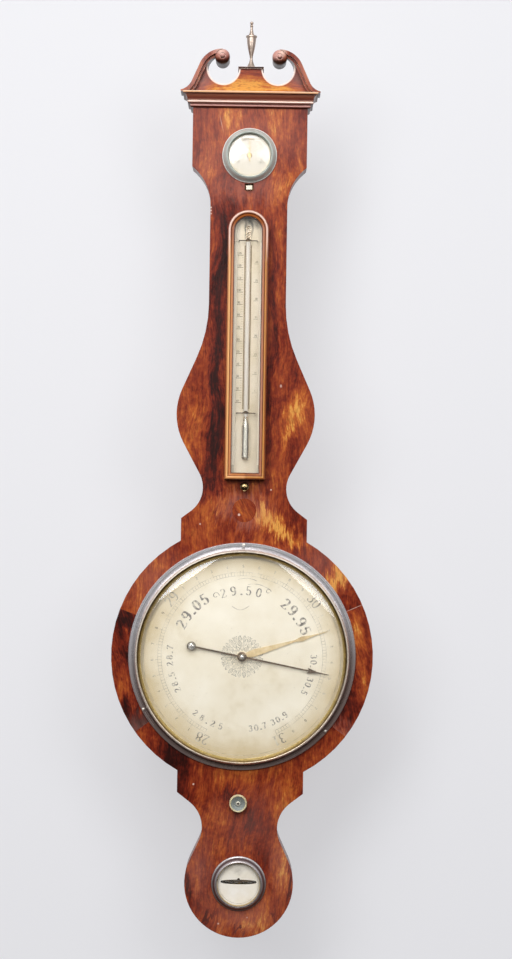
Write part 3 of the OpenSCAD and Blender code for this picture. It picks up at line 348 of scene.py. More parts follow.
@dataclass(frozen=True)
class FiguredMahogany(Finish):
    """Knife-cut mahogany veneer, french polished.

    Args:
        tones: Colours from burnt to golden.
        gold: Patches where the grain turns to the light.
        burnt: Darker patches: gum and old polish, painted shadows on the trunk beside the thermometer box and under
            the hygrometer, and darkening along the foot's outline.
        pale: Dents and filler that show light, and on the scrolls painted highlights.
        bloom: Patches of painted sheen, drawn pinkish pale where the polish would catch the light.
        lean: Lean of the grain, clockwise in degrees.
        across: True where the grain runs from side to side.
        grain_mm: Width and length of the figure.
        tone: Middle of the tone range.
        seed: Start of the noise.
        gloss: Weight of the polish film.
        fray: How far patches fray along the grain.
    """

    tones: tuple[str, ...] = ("#2a0a06", "#4a130a", "#742513", "#953f1d", "#b65e27", "#dc9a48")
    gold: Rows = ()
    burnt: Rows = ()
    pale: Rows = ()
    bloom: Rows = ()
    lean: float = 0.0
    across: bool = False
    grain_mm: Point = (16.0, 130.0)
    tone: float = 0.5
    seed: float = 0.0
    gloss: float = 0.08
    fray: float = 1.0

    def shade(self, tree: Tree, place: Socket) -> Socket:
        """Draws figure, streaks, pores and polish, as the base class says."""
        # the knife follows a wandering fibre, so figure drifts by a centimetre and its edges fray along the grain
        drift = add(tree, "TexNoise", {"Vector": place, "Scale": per_metre(85), "Detail": 1.0}, out="Color")
        fibre = sway(tree, drift, (0.03, 0.0, 0.03), place)
        turn = math.radians(self.lean + (90.0 if self.across else 0.0))
        start = (self.seed, 0.0, self.seed)
        turned = add(tree, "Mapping", {"Vector": fibre, "Location": start, "Rotation": (0.0, turn, 0.0)})
        torn = streaks(tree, turned, (4.5, 60.0, 24.0), 4.0, 0.7, "Color")
        reach = (0.07 * self.fray, 0.0, 0.01) if self.across else (0.028 * self.fray, 0.0, 0.07 * self.fray)
        ragged = sway(tree, torn, reach, fibre)
        wide, tall = self.grain_mm
        # cloudy mottle, ribbons of the figure, crossing flecks and fine streaks along the fibre
        kinds = (
            (wide * 2.4, tall, 6.0, 1.0),
            (wide * 0.6, tall * 1.1, 3.0, 0.5),
            (5.0, 8.0, 5.0, 0.68),
            (1.4, 22.0, 2.0, 0.42),
        )
        tone: Value = self.tone - 0.5 * sum(kind[-1] for kind in kinds)
        layers = []
        for width, length, detail, weight in kinds:
            layers.append(streaks(tree, turned, (width, 60.0, length), detail, 0.66))
            tone = add(tree, "Math", (layers[-1], weight, tone), operation="MULTIPLY_ADD")
        tone = ovals(tree, ragged, self.gold, tone)
        tone = ovals(tree, ragged, self.burnt, tone, -1.0)
        last = len(self.tones) - 1
        colour = add(tree, "ValToRGB", (tone,), [(0.05 + 0.9 * i / last, c) for i, c in enumerate(self.tones)])
        # pores are about 0.2 mm wide on the wood and drawn at 0.8 mm so that they show
        pore = streaks(tree, turned, (0.8, 0.8, 20 / 3), 1.0)
        pit = add(tree, "MapRange", (pore, 0.34, 0.46, 0.66, 1.0))
        colour = add(tree, "Mix", {0: 1.0, 6: colour, 7: pit}, blend_type="MULTIPLY")
        # painted sheen in pinkish patches where the polish would catch the light; the pale marks are dents and
        # filler, and on the scrolls painted highlights
        for rows, where, light in ((self.bloom, ragged, "#bd897e"), (self.pale, place, "#e3c2b2")):
            if rows:
                colour = add(tree, "Mix", {0: ovals(tree, where, rows, 0.0), 6: colour, 7: light})
        rough = add(tree, "MapRange", (layers[0], 0.3, 0.7, 0.26, 0.4))
        relief = add(tree, "Math", (layers[3], 0.4, pit), operation="MULTIPLY_ADD")
        film = {"Specular IOR Level": 0.22, "Coat Weight": self.gloss, "Coat Roughness": 0.14}
        return surface(tree, self.rub(tree, place, colour), rough, relief, (0.18, 0.2), film)

    def rub(self, tree: Tree, place: Socket, colour: Socket) -> Socket:
        """Gives the colour with the painted light and shade and the wear that a subclass draws, which plain veneer
        leaves as it is.

        Args:
            tree: The material's node tree.
            place: The place on the surface, in metres.
            colour: The wood's colour.

        Returns:
            The colour with these drawn in.
        """
        return colour


@dataclass(frozen=True)
class RubbedMoulding(FiguredMahogany):
    """Mahogany moulding of the thermometer box, drawn with painted light and shade: its bead a pale painted
    highlight, its quirks dark painted shade, its left side lit and its right side shaded, and its arch paler.

    Args:
        arch_up: Height where the arch springs.
        low_up: Height of the box's lower edge.
        half_w: Half of the box's width.
        rail: Width of the moulding.
        worn: Share of the wood's colour that the bands take over.
    """

    arch_up: float = 519.0
    low_up: float = 216.0
    half_w: float = 25.0
    rail: float = 8.0
    worn: float = 0.78

    def rub(self, tree: Tree, place: Socket, colour: Socket) -> Socket:
        """Draws bands of painted light and shade that follow the moulding round the box, as the base class says."""
        x, z = (add(tree, "SeparateXYZ", (place,), out=axis) for axis in "XZ")
        rise = add(tree, "Math", (z, -height_of(self.arch_up)), operation="ADD")
        spot = add(tree, "CombineXYZ", (x, add(tree, "Math", (rise, 0.0), operation="MAXIMUM")))
        side = add(tree, "VectorMath", (spot,), out="Value", operation="LENGTH")
        under = add(tree, "Math", (height_of(self.low_up + self.half_w), z), operation="SUBTRACT")
        reach = add(tree, "Math", (side, under), operation="MAXIMUM")
        share = add(tree, "MapRange", (reach, (self.half_w - self.rail) * MM, self.half_w * MM))
        # painted light and shade across the moulding: dark stops are painted shade in the quirks, pale stops
        # painted highlights on the bead, the left side's ramp is lit and the right side's shaded, and the arch's
        # bead is a paler painted highlight
        shaded_slope = [(0.0, "#3a1c0e"), (0.07, "#6e3b1b"), (0.2, "#a9642c"), (0.34, "#8f4d22"), (0.44, "#4f2411")]
        lit_slope = [(0.0, "#4a2412"), (0.07, "#8a5026"), (0.2, "#d08844"), (0.34, "#b86e34"), (0.44, "#6a361a")]
        right = [(0.53, "#c98d42"), (0.64, "#cc9048"), (0.76, "#9c5a2a"), (0.9, "#864c2a"), (0.98, "#4a2012")]
        left = [(0.53, "#f2b66c"), (0.64, "#f8c484"), (0.76, "#d8945a"), (0.9, "#b87848"), (0.98, "#5a2a16")]
        arch = [(0.54, "#9a6244"), (0.64, "#ecccbc"), (0.78, "#f2dccf"), (0.86, "#c4927e"), (0.94, "#7a4434")]
        ramps = (shaded_slope + right, lit_slope + left, shaded_slope + arch)
        bands, bright, crown = (add(tree, "ValToRGB", (share,), stops) for stops in ramps)
        for part, start, end, other in ((x, 0.002, -0.002, bright), (z, -0.225, -0.19, crown)):
            bands = add(tree, "Mix", {0: add(tree, "MapRange", (part, start, end)), 6: bands, 7: other})
        return add(tree, "Mix", {0: self.worn, 6: colour, 7: bands})


@dataclass(frozen=True)
class PlanedCornice(FiguredMahogany):
    """Mahogany cornice drawn with bands of painted light and shade: pale painted highlights on its fillets and dark
    painted shade in its quirks.

    Args:
        low_up: Height of its lower edge.
        high_up: Height of its upper edge.
        bands: Heights from 0 at the lower edge to 1 at the upper edge, and the colours there, pale for painted
            highlights and dark for painted shade.
        worn: Share of the wood's colour that the bands take over.
    """

    low_up: float = 670.0
    high_up: float = 688.5
    bands: tuple[tuple[float, str], ...] = (
        (0.0, "#3d150c"), (0.07, "#4a1a10"), (0.13, "#d0a096"), (0.2, "#d0a096"), (0.26, "#4c2118"),
        (0.31, "#a87a6a"), (0.36, "#fff0e4"), (0.42, "#fbdccb"), (0.48, "#7a4a3b"), (0.57, "#4f2017"),
        (0.68, "#7d4634"), (0.78, "#a56a55"), (0.86, "#5a2a1a"), (0.93, "#d8a070"), (1.0, "#ffe6c4"),
    )
    worn: float = 0.88

    def rub(self, tree: Tree, place: Socket, colour: Socket) -> Socket:
        """Draws the bands of painted highlight and shade along the moulding, as the base class says."""
        z = add(tree, "SeparateXYZ", (place,), out="Z")
        share = add(tree, "MapRange", (z, height_of(self.low_up), height_of(self.high_up)))
        return add(tree, "Mix", {0: self.worn, 6: colour, 7: add(tree, "ValToRGB", (share,), self.bands)})


@dataclass(frozen=True)
class CarvedNeck(FiguredMahogany):
    """Mahogany swan neck, with painted shade on what faces down.

    Args:
        soot: Colour of the painted shade on the undersides.
        under: Upward shares of the surface's direction where the painted shade is full and where it ends.
    """

    soot: str = "#170806"
    under: Point = (-0.55, 0.05)

    def rub(self, tree: Tree, place: Socket, colour: Socket) -> Socket:
        """Paints shade on what faces down, as the base class says."""
        facing = add(tree, "SeparateXYZ", (add(tree, "NewGeometry", out="Normal"),), out="Z")
        share = add(tree, "MapRange", (facing, *self.under, 0.95, 0.0))
        return add(tree, "Mix", {0: share, 6: colour, 7: self.soot})


@dataclass(frozen=True)
class PedimentBoard(CarvedNeck):
    """Mahogany board with a pale edge round the front of its two openings, drawn as rubbed wear and painted
    highlight.

    Args:
        openings: Middles of the openings.
        opening_r: Their radius.
        rim_mm: Width of the pale edge.
        bare: Colour of the pale edge of wear and painted highlight.
    """

    openings: tuple[Point, ...] = ((-33.5, 719.0), (33.5, 719.0))
    opening_r: float = 19.2
    rim_mm: float = 2.2
    bare: str = "#fbe6da"

    def rub(self, tree: Tree, place: Socket, colour: Socket) -> Socket:
        """Paints shade on what faces down, inside the openings too, and a pale edge of wear and painted highlight
        round them, as the base class says.
        """
        colour = super().rub(tree, place, colour)
        facing = add(tree, "SeparateXYZ", (add(tree, "NewGeometry", out="Normal"),), out="Y")
        front = add(tree, "MapRange", (facing, -0.5, -0.8))
        near, far = self.opening_r + 0.4 * self.rim_mm, self.opening_r + self.rim_mm
        for middle in self.openings:
            _, reach = away(tree, place, middle)
            rim = add(tree, "MapRange", (reach, near * MM, far * MM, 0.92, 0.0))
            share = add(tree, "Math", (rim, front), operation="MULTIPLY")
            colour = add(tree, "Mix", {0: share, 6: colour, 7: self.bare})
        return colour


@dataclass(frozen=True)
class SawnPine(Finish):
    """Pine board, sawn and left bare, brown with age and dust.

    Args:
        early: Colour of the soft early wood.
        late: Colour of the hard late wood.
        grime: Colour of old dirt.
        ring_mm: Distance between year rings.
    """

    early: str = "#b48c58"
    late: str = "#80552c"
    grime: str = "#523a24"
    ring_mm: float = 7.0

    def shade(self, tree: Tree, place: Socket) -> Socket:
        """Draws year rings, saw marks and dirt, as the base class says."""
        ring = per_metre(self.ring_mm)
        # rings wander by a few centimetres along the board, so cuts through them widen and close again
        drift = add(tree, "TexNoise", {"Vector": place, "Scale": per_metre(330), "Detail": 2.0}, out="Color")
        bowed = add(tree, "VectorMath", (drift, (0.09, 0.0, 0.0), place), operation="MULTIPLY_ADD")
        grain = add(tree, "Mapping", {"Vector": bowed, "Scale": (ring, ring, per_metre(190))})
        wave = {"Vector": grain, "Scale": 0.2, "Distortion": 9.0, "Detail": 4.0, "Detail Scale": 0.5}
        rings = add(tree, "TexWave", wave, bands_direction="X", wave_profile="SAW")
        dirt = add(tree, "TexNoise", {"Vector": place, "Scale": per_metre(70), "Detail": 7.0, "Roughness": 0.65})
        plain = add(tree, "MapRange", (dirt, 0.35, 0.65, 0.25, 1.0))
        late = add(tree, "Math", (rings, plain), operation="MULTIPLY")
        colour = add(tree, "Mix", {0: late, 6: self.early, 7: self.late})
        dirty = add(tree, "MapRange", (dirt, 0.42, 0.72, 0.05, 0.75))
        colour = add(tree, "Mix", {0: dirty, 6: colour, 7: self.grime})
        # the frame saw leaves ridges about 2 mm apart across the board
        ridges = streaks(tree, place, (40.0, 40.0, 2.2), 2.0)
        relief = add(tree, "Math", (rings, 0.5, ridges), operation="MULTIPLY_ADD")
        return surface(tree, colour, 0.82, relief, (0.5, 0.4), {"Specular IOR Level": 0.25})


@dataclass(frozen=True)
class WorkedMetal(Finish):
    """Metal with fine tool marks and tarnish in patches.

    Args:
        bright: Colour where hands keep it clean.
        dull: Colour of its tarnish.
        dark: Colour of the dirt in its hollows.
        lay: The way that the tool marks run.
        middle: Place of the turned middle, on the bench.
        mark_mm: Distance between tool marks.
        patch_mm: Size of the tarnish patches.
        age: Share of the surface that is dull.
        rough: Lowest and highest roughness.
    """

    bright: str
    dull: str
    dark: str
    lay: Lay = Lay.UPRIGHT
    middle: Point = (0.0, 0.0)
    mark_mm: float = 1.2
    patch_mm: float = 18.0
    age: float = 0.5
    rough: Point = (0.2, 0.42)

    def run(self, tree: Tree, place: Socket) -> Socket:
        """Gives the distance across the tool marks, in metres."""
        if self.lay is Lay.RINGS:
            return away(tree, place, self.middle, (1.0, 0.35, 1.0))[1]
        return add(tree, "SeparateXYZ", (place,), out="X" if self.lay is Lay.UPRIGHT else "Z")

    def patches(self, tree: Tree, place: Socket, detail: float = 6.0, rough: float = 0.62) -> Socket:
        """Gives the tarnish patches as a noise with this much finer noise, and this strong."""
        size = per_metre(self.patch_mm)
        return add(tree, "TexNoise", {"Vector": place, "Scale": size, "Detail": detail, "Roughness": rough})

    def marks(self, tree: Tree, run: Socket, detail: float = 2.0) -> Socket:
        """Gives the tool marks as a noise over the distance across them."""
        size = per_metre(self.mark_mm)
        return add(tree, "TexNoise", {"W": run, "Scale": size, "Detail": detail}, noise_dimensions="1D")

    def worked(
        self, tree: Tree, colour: Socket, patch: Socket, run: Socket, relief: float = 0.12, metal: float = 1.0
    ) -> Socket:
        """Lays tool marks over a tarnished colour.

        Args:
            tree: The material's node tree.
            colour: The colour.
            patch: The tarnish patches.
            run: The distance across the tool marks.
            relief: Strength of the relief.
            metal: Share of the surface that answers as metal.

        Returns:
            The shader's output.
        """
        mixed = add(tree, "Math", (self.marks(tree, run), 0.5, patch), operation="MULTIPLY_ADD")
        rough = add(tree, "MapRange", (mixed, 0.45, 1.0, *self.rough))
        return surface(tree, colour, rough, mixed, (relief, 0.2), {"Metallic": metal})

    def shade(self, tree: Tree, place: Socket) -> Socket:
        """Draws tarnish, tool marks and pits, as the base class says."""
        patch = self.patches(tree, place)
        low = 0.5 - 0.28 * self.age
        stops = [(low - 0.1, self.bright), (low + 0.12, self.dull), (0.74, self.dark)]
        return self.worked(tree, add(tree, "ValToRGB", (patch,), stops), patch, self.run(tree, place))


@dataclass(frozen=True)
class SilveredPlate(WorkedMetal):
    """Brass plate rubbed with silver paste, lacquered and yellowed.

    Args:
        radius: Radius where the stain of the rim begins to show fully.
        stain: Colour of the yellowed rim.
        silver: Share of the surface that answers as metal.
        smudges: Dark places: tarnish smears, and painted shade under the thermometer box's arch and under the
            level's bezel.
    """

    radius: float = 125.0
    stain: str = "#c2ae82"
    silver: float = 0.25
    smudges: Rows = ()

    def shade(self, tree: Tree, place: Socket) -> Socket:
        """Draws the paste's rubbing, the stained rim, specks and dark marks of tarnish and painted shade, as the
        base class says.
        """
        patch = self.patches(tree, place, 5.0, 0.6)
        colour = add(tree, "ValToRGB", (patch,), [(0.3, self.bright), (0.55, self.dull), (0.8, self.dark)])
        _, reach = away(tree, place, self.middle)
        size = self.radius * MM
        wander = add(tree, "Math", (patch, 0.25 * size, reach), operation="MULTIPLY_ADD")
        ends = (wander, 0.8 * size, 1.16 * size, 0.0, 0.85)
        edge = add(tree, "MapRange", ends, interpolation_type="SMOOTHSTEP")
        colour = add(tree, "Mix", {0: edge, 6: colour, 7: self.stain})
        # dark marks: tarnish smears and painted shade
        if self.smudges:
            frayed = sway(tree, patch, (0.02, 0.0, 0.04), place)
            colour = add(tree, "Mix", {0: ovals(tree, frayed, self.smudges, 0.0), 6: colour, 7: "#4f4a40"})
        speck = add(tree, "TexVoronoi", {"Vector": place, "Scale": per_metre(11), "Randomness": 1.0})
        spot = add(tree, "MapRange", (speck, 0.03, 0.06, 0.45, 0.0))
        colour = add(tree, "Mix", {0: spot, 6: colour, 7: "#8d7f66"})
        marks = self.marks(tree, self.run(tree, place), 3.0)
        rough = add(tree, "MapRange", (marks, 0.3, 0.7, *self.rough))
        return surface(tree, colour, rough, marks, (0.08, 0.1), {"Metallic": self.silver})


@dataclass(frozen=True)
class SpunBezel(WorkedMetal):
    """Spun brass bezel drawn in rings of colour, whose pale and dark rings are painted highlights and shade, with
    painted shade on its flange towards the bottom.

    Args:
        bands: Radii from the inner edge outwards and the colours there, pale rings for painted highlights and dark
            rings for painted shade.
        grime: Heights above the bezel's middle where the painted shade begins and where it is full.
        tilt: Turn of the shaded side from the bottom to the right, in degrees.
        dirt: Share of the painted shade at full.
        skin: Share of dull oxide, which answers as paint does.
        flange: Shares of the bezel's width where the painted shade begins and where it is full.
    """

    bands: tuple[tuple[float, str], ...] = ()
    grime: Point = (70.0, -110.0)
    tilt: float = 0.0
    dirt: float = 0.0
    skin: float = 0.0
    flange: Point = (0.38, 0.48)

    def shade(self, tree: Tree, place: Socket) -> Socket:
        """Draws the rings of colour with their painted highlights and shade, tarnish spots, spinning marks and
        painted shade towards the bottom, as the base class says.
        """
        way, reach = away(tree, place, self.middle)
        inner, outer = self.bands[0][0], self.bands[-1][0]
        share = add(tree, "MapRange", (reach, inner * MM, outer * MM))
        stops = [((radius - inner) / (outer - inner), colour) for radius, colour in self.bands]
        colour = add(tree, "ValToRGB", (share,), stops)
        patch = self.patches(tree, place)
        spots = add(tree, "MapRange", (patch, 0.5, 0.78, 0.0, self.age))
        colour = add(tree, "Mix", {0: spots, 6: colour, 7: self.dull})
        # painted shade: the flange turns to the dark colour lower down, with the shaded side turned by tilt
        up = (-math.sin(math.radians(self.tilt)), 0.0, math.cos(math.radians(self.tilt)))
        height = add(tree, "VectorMath", (way, up), out="Value", operation="DOT_PRODUCT")
        ends = (height, self.grime[0] * MM, self.grime[1] * MM, 0.0, self.dirt)
        low = add(tree, "MapRange", ends, interpolation_type="SMOOTHSTEP")
        low = add(tree, "Math", (low, add(tree, "MapRange", (share, *self.flange))), operation="MULTIPLY")
        colour = add(tree, "Mix", {0: low, 6: colour, 7: self.dark})
        return self.worked(tree, colour, patch, reach, 0.08, 1.0 - self.skin)


@dataclass(frozen=True)
class EngravingWax(Finish):
    """Black shellac wax melted into engraved lines and worn out of them in places.

    Args:
        fill: Colour of the wax.
        worn: Colour where it has gone.
        wear_mm: Size of the worn places.
        wear: Share that is worn.
    """

    fill: str
    worn: str
    wear_mm: float
    wear: float

    def shade(self, tree: Tree, place: Socket) -> Socket:
        """Draws the wax and its worn places, as the base class says."""
        noise = add(tree, "TexNoise", {"Vector": place, "Scale": per_metre(self.wear_mm), "Detail": 5.0})
        gone = add(tree, "MapRange", (noise, 0.62 - 0.3 * self.wear, 0.8 - 0.2 * self.wear))
        return surface(tree, add(tree, "Mix", {0: gone, 6: self.fill, 7: self.worn}), 0.6, noise, (0.2, 0.1))


@dataclass(frozen=True)
class BlownGlass(Finish):
    """Hand-blown glass, clear and faintly wavy.

    Args:
        tint: Colour through the glass.
        wave_mm: Length of its waves.
        rough: Roughness of its skin.
        milk: Share that is clouded and white.
        milky: Lowest and highest clouded place, on the bench.
    """

    tint: str = "#ffffff"
    wave_mm: float = 60.0
    rough: float = 0.02
    milk: float = 0.0
    milky: Point = (293.0, 506.0)

    def shade(self, tree: Tree, place: Socket) -> Socket:
        """Draws the waves and lets light through to what lies behind, as the base class says."""
        wave = add(tree, "TexNoise", {"Vector": place, "Scale": per_metre(self.wave_mm), "Detail": 1.0})
        through: Value = 1.0
        if self.milk:
            low, high = (height_of(up) for up in self.milky)
            z = add(tree, "SeparateXYZ", (place,), out="Z")
            inside = add(tree, "Math", (z, (low + high) / 2, (high - low) / 2), operation="COMPARE")
            # an enamel strip behind the bore whitens the middle and leaves the tube's edges clear
            facing = add(tree, "LayerWeight", {"Blend": 0.5}, out="Facing")
            core = add(tree, "MapRange", (facing, 0.2, 0.6, self.milk, 0.0))
            white = add(tree, "Math", (inside, core), operation="MULTIPLY")
            through = add(tree, "Math", (1.0, white), operation="SUBTRACT")
        more = {"IOR": 1.5, "Transmission Weight": through}
        glass = surface(tree, self.tint, self.rough, wave, (0.05, 0.5), more)
        clear = add(tree, "BsdfTransparent", {"Color": self.tint})
        rays = [add(tree, "LightPath", out=ray) for ray in ("Is Shadow Ray", "Is Diffuse Ray")]
        return add(tree, "MixShader", (add(tree, "Math", rays, operation="MAXIMUM"), glass, clear))


@dataclass(frozen=True)
class Quicksilver(Finish):
    """Liquid mercury with a skin of dust: a mirror that is a little grey.

    Args:
        colour: Colour of the metal.
        skin_mm: Size of the dusty patches.
    """

    colour: str = "#c6ced2"
    skin_mm: float = 5.0

    def shade(self, tree: Tree, place: Socket) -> Socket:
        """Draws the dust on the mirror, as the base class says."""
        noise = add(tree, "TexNoise", {"Vector": place, "Scale": per_metre(self.skin_mm), "Detail": 3.0})
        rough = add(tree, "MapRange", (noise, 0.35, 0.7, 0.36, 0.5))
        return add(tree, "BsdfPrincipled", {"Base Color": self.colour, "Metallic": 1.0, "Roughness": rough})


@dataclass(frozen=True)
class TurnedBone(Finish):
    """Turned and polished bone rim around a dished metal centre with a light pip.

    Args:
        middle: Place of the knob's axis on the bench.
        bone: Colour of the rim.
        dish: Colour of the dish.
        pip: Colour of the pip.
        dot: Colour of the dot in it.
        outer_r: Outer radius of the rim.
        rim_r: Inner radius of the rim.
        pip_r: Radius of the pip.
        dot_r: Radius of the dot.
    """

    middle: Point = (-2.0, -179.0)
    bone: str = "#ddcfa6"
    dish: str = "#a6aeaa"
    pip: str = "#f2eee0"
    dot: str = "#2b2a26"
    outer_r: float = 12.0
    rim_r: float = 8.6
    pip_r: float = 2.7
    dot_r: float = 1.1

    def shade(self, tree: Tree, place: Socket) -> Socket:
        """Draws rim, dish, pip and the turner's rings, as the base class says."""
        _, reach = away(tree, place, self.middle, (1 / MM, 0.0, 1 / MM))
        share = add(tree, "Math", (reach, self.outer_r), operation="DIVIDE")
        step = 0.01
        stops = [(0.0, self.dot)]
        for radius, inside, outside in (
            (self.dot_r, self.dot, self.pip),
            (self.pip_r, self.pip, self.dish),
            (self.rim_r, self.dish, self.bone),
        ):
            stops += [(radius / self.outer_r, inside), (radius / self.outer_r + step, outside)]
        colour = add(tree, "ValToRGB", (share,), stops + [(1.0, self.bone)])
        stain = add(tree, "TexNoise", {"Vector": place, "Scale": per_metre(3), "Detail": 4.0})
        dirty = add(tree, "MapRange", (stain, 0.5, 0.8, 0.0, 0.5))
        colour = add(tree, "Mix", {0: dirty, 6: colour, 7: "#6f6245"})
        edge = self.rim_r / self.outer_r
        metal = add(tree, "MapRange", (share, edge, edge + step, 0.7, 0.0))
        rings = add(tree, "TexNoise", {"W": reach, "Scale": 1.6, "Detail": 1.0}, noise_dimensions="1D")
        rough = add(tree, "MapRange", (stain, 0.3, 0.7, 0.28, 0.45))
        return surface(tree, colour, rough, rings, (0.15, 0.2), {"Metallic": metal})


@dataclass(frozen=True)
class SoftStuff(Finish):
    """Dull stuff of plant or chalk, such as putty, cork, gut, silk and straw.

    Args:
        light: Its lighter colour.
        deep: Its deeper colour.
        grain_mm: Size of its grain.
        stretch: How much longer the grain is upright than across.
        rough: Its roughness.
        relief: Depth of the grain in millimetres.
    """

    light: str
    deep: str
    grain_mm: float
    stretch: float = 1.0
    rough: float = 0.8
    relief: float = 0.3

    def shade(self, tree: Tree, place: Socket) -> Socket:
        """Draws the grain, as the base class says."""
        size = (self.grain_mm, self.grain_mm, self.grain_mm * self.stretch)
        noise = streaks(tree, place, size, 5.0, 0.65)
        colour = add(tree, "ValToRGB", (noise,), [(0.36, self.deep), (0.62, self.light)])
        return surface(tree, colour, self.rough, noise, (0.6, self.relief))


@dataclass(frozen=True)
class StudioPaint(Finish):
    """Matt studio paint on a wall or floor, seen from its front only.

    Args:
        colour: Colour of the paint.
        glow: Level of the light that comes through it where it is a lit backdrop.
    """

    colour: str
    glow: float = 0.0

    def shade(self, tree: Tree, place: Socket) -> Socket:
        """Draws the roller's faint texture, as the base class says."""
        nap = add(tree, "TexNoise", {"Vector": place, "Scale": per_metre(4), "Detail": 2.0})
        more = {"Specular IOR Level": 0.1, "Emission Color": "#fbfbff", "Emission Strength": self.glow}
        paint = surface(tree, self.colour, 0.95, nap, (0.02, 0.2), more)
        back = add(tree, "NewGeometry", out="Backfacing")
        return add(tree, "MixShader", (back, paint, add(tree, "BsdfTransparent")))


# Mahogany veneer is red-brown with darker gum streaks, and french polish turns its figure golden in the light.
TRUNK_VENEER = FiguredMahogany(
    "mahogany trunk veneer french polished", "mahogany_veneer", seed=3.1, tone=0.52,
    gold=(
        (-26, 655, 15, 34, 0.13, 2), (-14, 655, 6, 24, 0.14, -4), (28, 655, 12, 34, 0.15, -3),
        (46, 575, 15, 44, 0.2, 24), (-50, 590, 15, 40, 0.1, -20), (36, 515, 8, 40, 0.16, 8),
        (38, 450, 10, 80, 0.14), (62, 300, 17, 40, 0.3, 14), (50, 268, 8, 26, 0.22, 24),
        (42, 360, 13, 50, 0.08, 10), (-66, 306, 13, 40, 0.14, -16), (-70, 262, 13, 24, 0.12),
        (50, 161, 12, 52, 0.38, -48), (22, 173, 14, 24, 0.24, -40), (-30, 180, 11, 26, 0.16, 12),
        (112, 101, 15, 56, 0.38, 48), (-100, 112, 14, 40, 0.1, -44),
    ),
    # the marks at x 29 along the box's right side and the one at 576 under the hygrometer's adjuster are painted
    # shadows; the rest are gum streaks and old polish
    burnt=(
        (-34, 490, 9, 70, 0.22, 2), (-35, 400, 13, 100, 0.26, 4), (-37, 320, 13, 90, 0.26, 4),
        (-40, 250, 15, 64, 0.26, 6), (-43, 209, 18, 36, 0.2), (29, 390, 6, 200, 0.12), (29, 240, 7, 90, 0.15),
        (-12, 178, 10, 22, 0.1), (-58, 660, 22, 34, 0.08), (64, 650, 16, 44, 0.1), (-64, 560, 16, 34, 0.08),
        (-34, 168, 5, 9, 0.2), (0, 150, 16, 14, 0.14), (-96, 96, 30, 20, 0.06, -40), (0, 576, 7, 4, 0.9),
    ),
    pale=(
        (-46.2, 548, 1.2, 1.4, 0.9), (-46.2, 544.3, 1.2, 1.4, 0.9), (-46.0, 540.6, 1.1, 1.3, 0.8),
        (32.3, 204, 1.4, 1.4, 0.7), (42.5, 331, 1.8, 2.6, 0.5), (-53.7, 161, 1.5, 1.5, 0.6),
        (-35, 651, 0.6, 13, 0.3, -13), (136, 60.6, 16, 0.9, 0.6, -24),
    ),
    # painted sheen in pinkish patches
    bloom=(
        (0, 640, 120, 60, 0.1), (-50, 590, 40, 50, 0.09), (0, 570, 50, 30, 0.16), (0, 180, 44, 26, 0.2),
        (-110, 98, 50, 60, 0.09), (96, 118, 50, 40, 0.12),
    ),
)
RING_VENEER = FiguredMahogany(
    "mahogany ring veneer french polished", "mahogany_veneer", seed=7.7, tone=0.46, lean=12.0,
    gold=(
        (136, 22, 12, 40, 0.2), (146, -30, 8, 30, 0.1), (119, -98, 16, 16, 0.14), (-148, -44, 9, 34, 0.14),
        (-140, 20, 8, 20, 0.1),
    ),
    burnt=(
        (-143, 46, 18, 30, 0.34), (-138, -70, 16, 30, 0.28), (-146, -8, 10, 36, 0.16),
        (-106, -112, 22, 18, 0.2), (127, -69, 22, 28, 0.18), (-118, -92, 20, 30, 0.52), (150, 40, 8, 24, 0.04),
    ),
    # painted sheen in pinkish patches
    bloom=((-112, -100, 40, 40, 0.2), (112, -104, 40, 30, 0.24)),
)
FOOT_VENEER = FiguredMahogany(
    "mahogany foot veneer french polished", "mahogany_veneer", seed=12.9, tone=0.53, lean=-6.0,
    grain_mm=(20.0, 70.0),
    gold=(
        (58, -262, 12, 60, 0.24, 6), (58, -166, 15, 26, 0.12), (10, -330, 46, 14, 0.1),
        (-52, -276, 8, 26, 0.12, 14), (-10, -238, 30, 10, 0.08),
    ),
    # the narrow marks darken the foot along its outline
    burnt=(
        (12, -200, 30, 30, 0.2), (-14, -164, 16, 14, 0.24), (-76, -164, 16, 34, 0.16),
        (-46, -255, 16, 46, 0.14), (-88, -120, 30, 40, 0.3), (-62, -300, 12, 26, 0.1), (-66, -276, 5, 46, 0.3),
        (66, -276, 4, 40, 0.24), (-44, -325, 5, 20, 0.3, 48), (44, -325, 4, 20, 0.24, -48),
        (-2, -339, 7, 4, 0.5), (-90, -150, 5, 20, 0.3),
    ),
    pale=((-57, -157, 1.5, 1.5, 0.9), (-24, -327, 1.5, 1.5, 0.6), (11, -319, 1.3, 1.3, 0.4)),
    # painted sheen in pinkish patches
    bloom=(
        (10, -205, 70, 60, 0.1), (0, -320, 70, 40, 0.16), (-52, -262, 30, 60, 0.14), (56, -258, 30, 60, 0.16),
    ),
)
PLUG_VENEER = FiguredMahogany(
    "mahogany plug veneer french polished", "mahogany_veneer", seed=21.3, tone=0.5, lean=35.0,
    pale=((-6.3, 173, 1.9, 1.9, 1.0),),
)
EDGE_VENEER = FiguredMahogany("mahogany edge veneer bent and polished", "mahogany_edge", seed=5.5, tone=0.42)
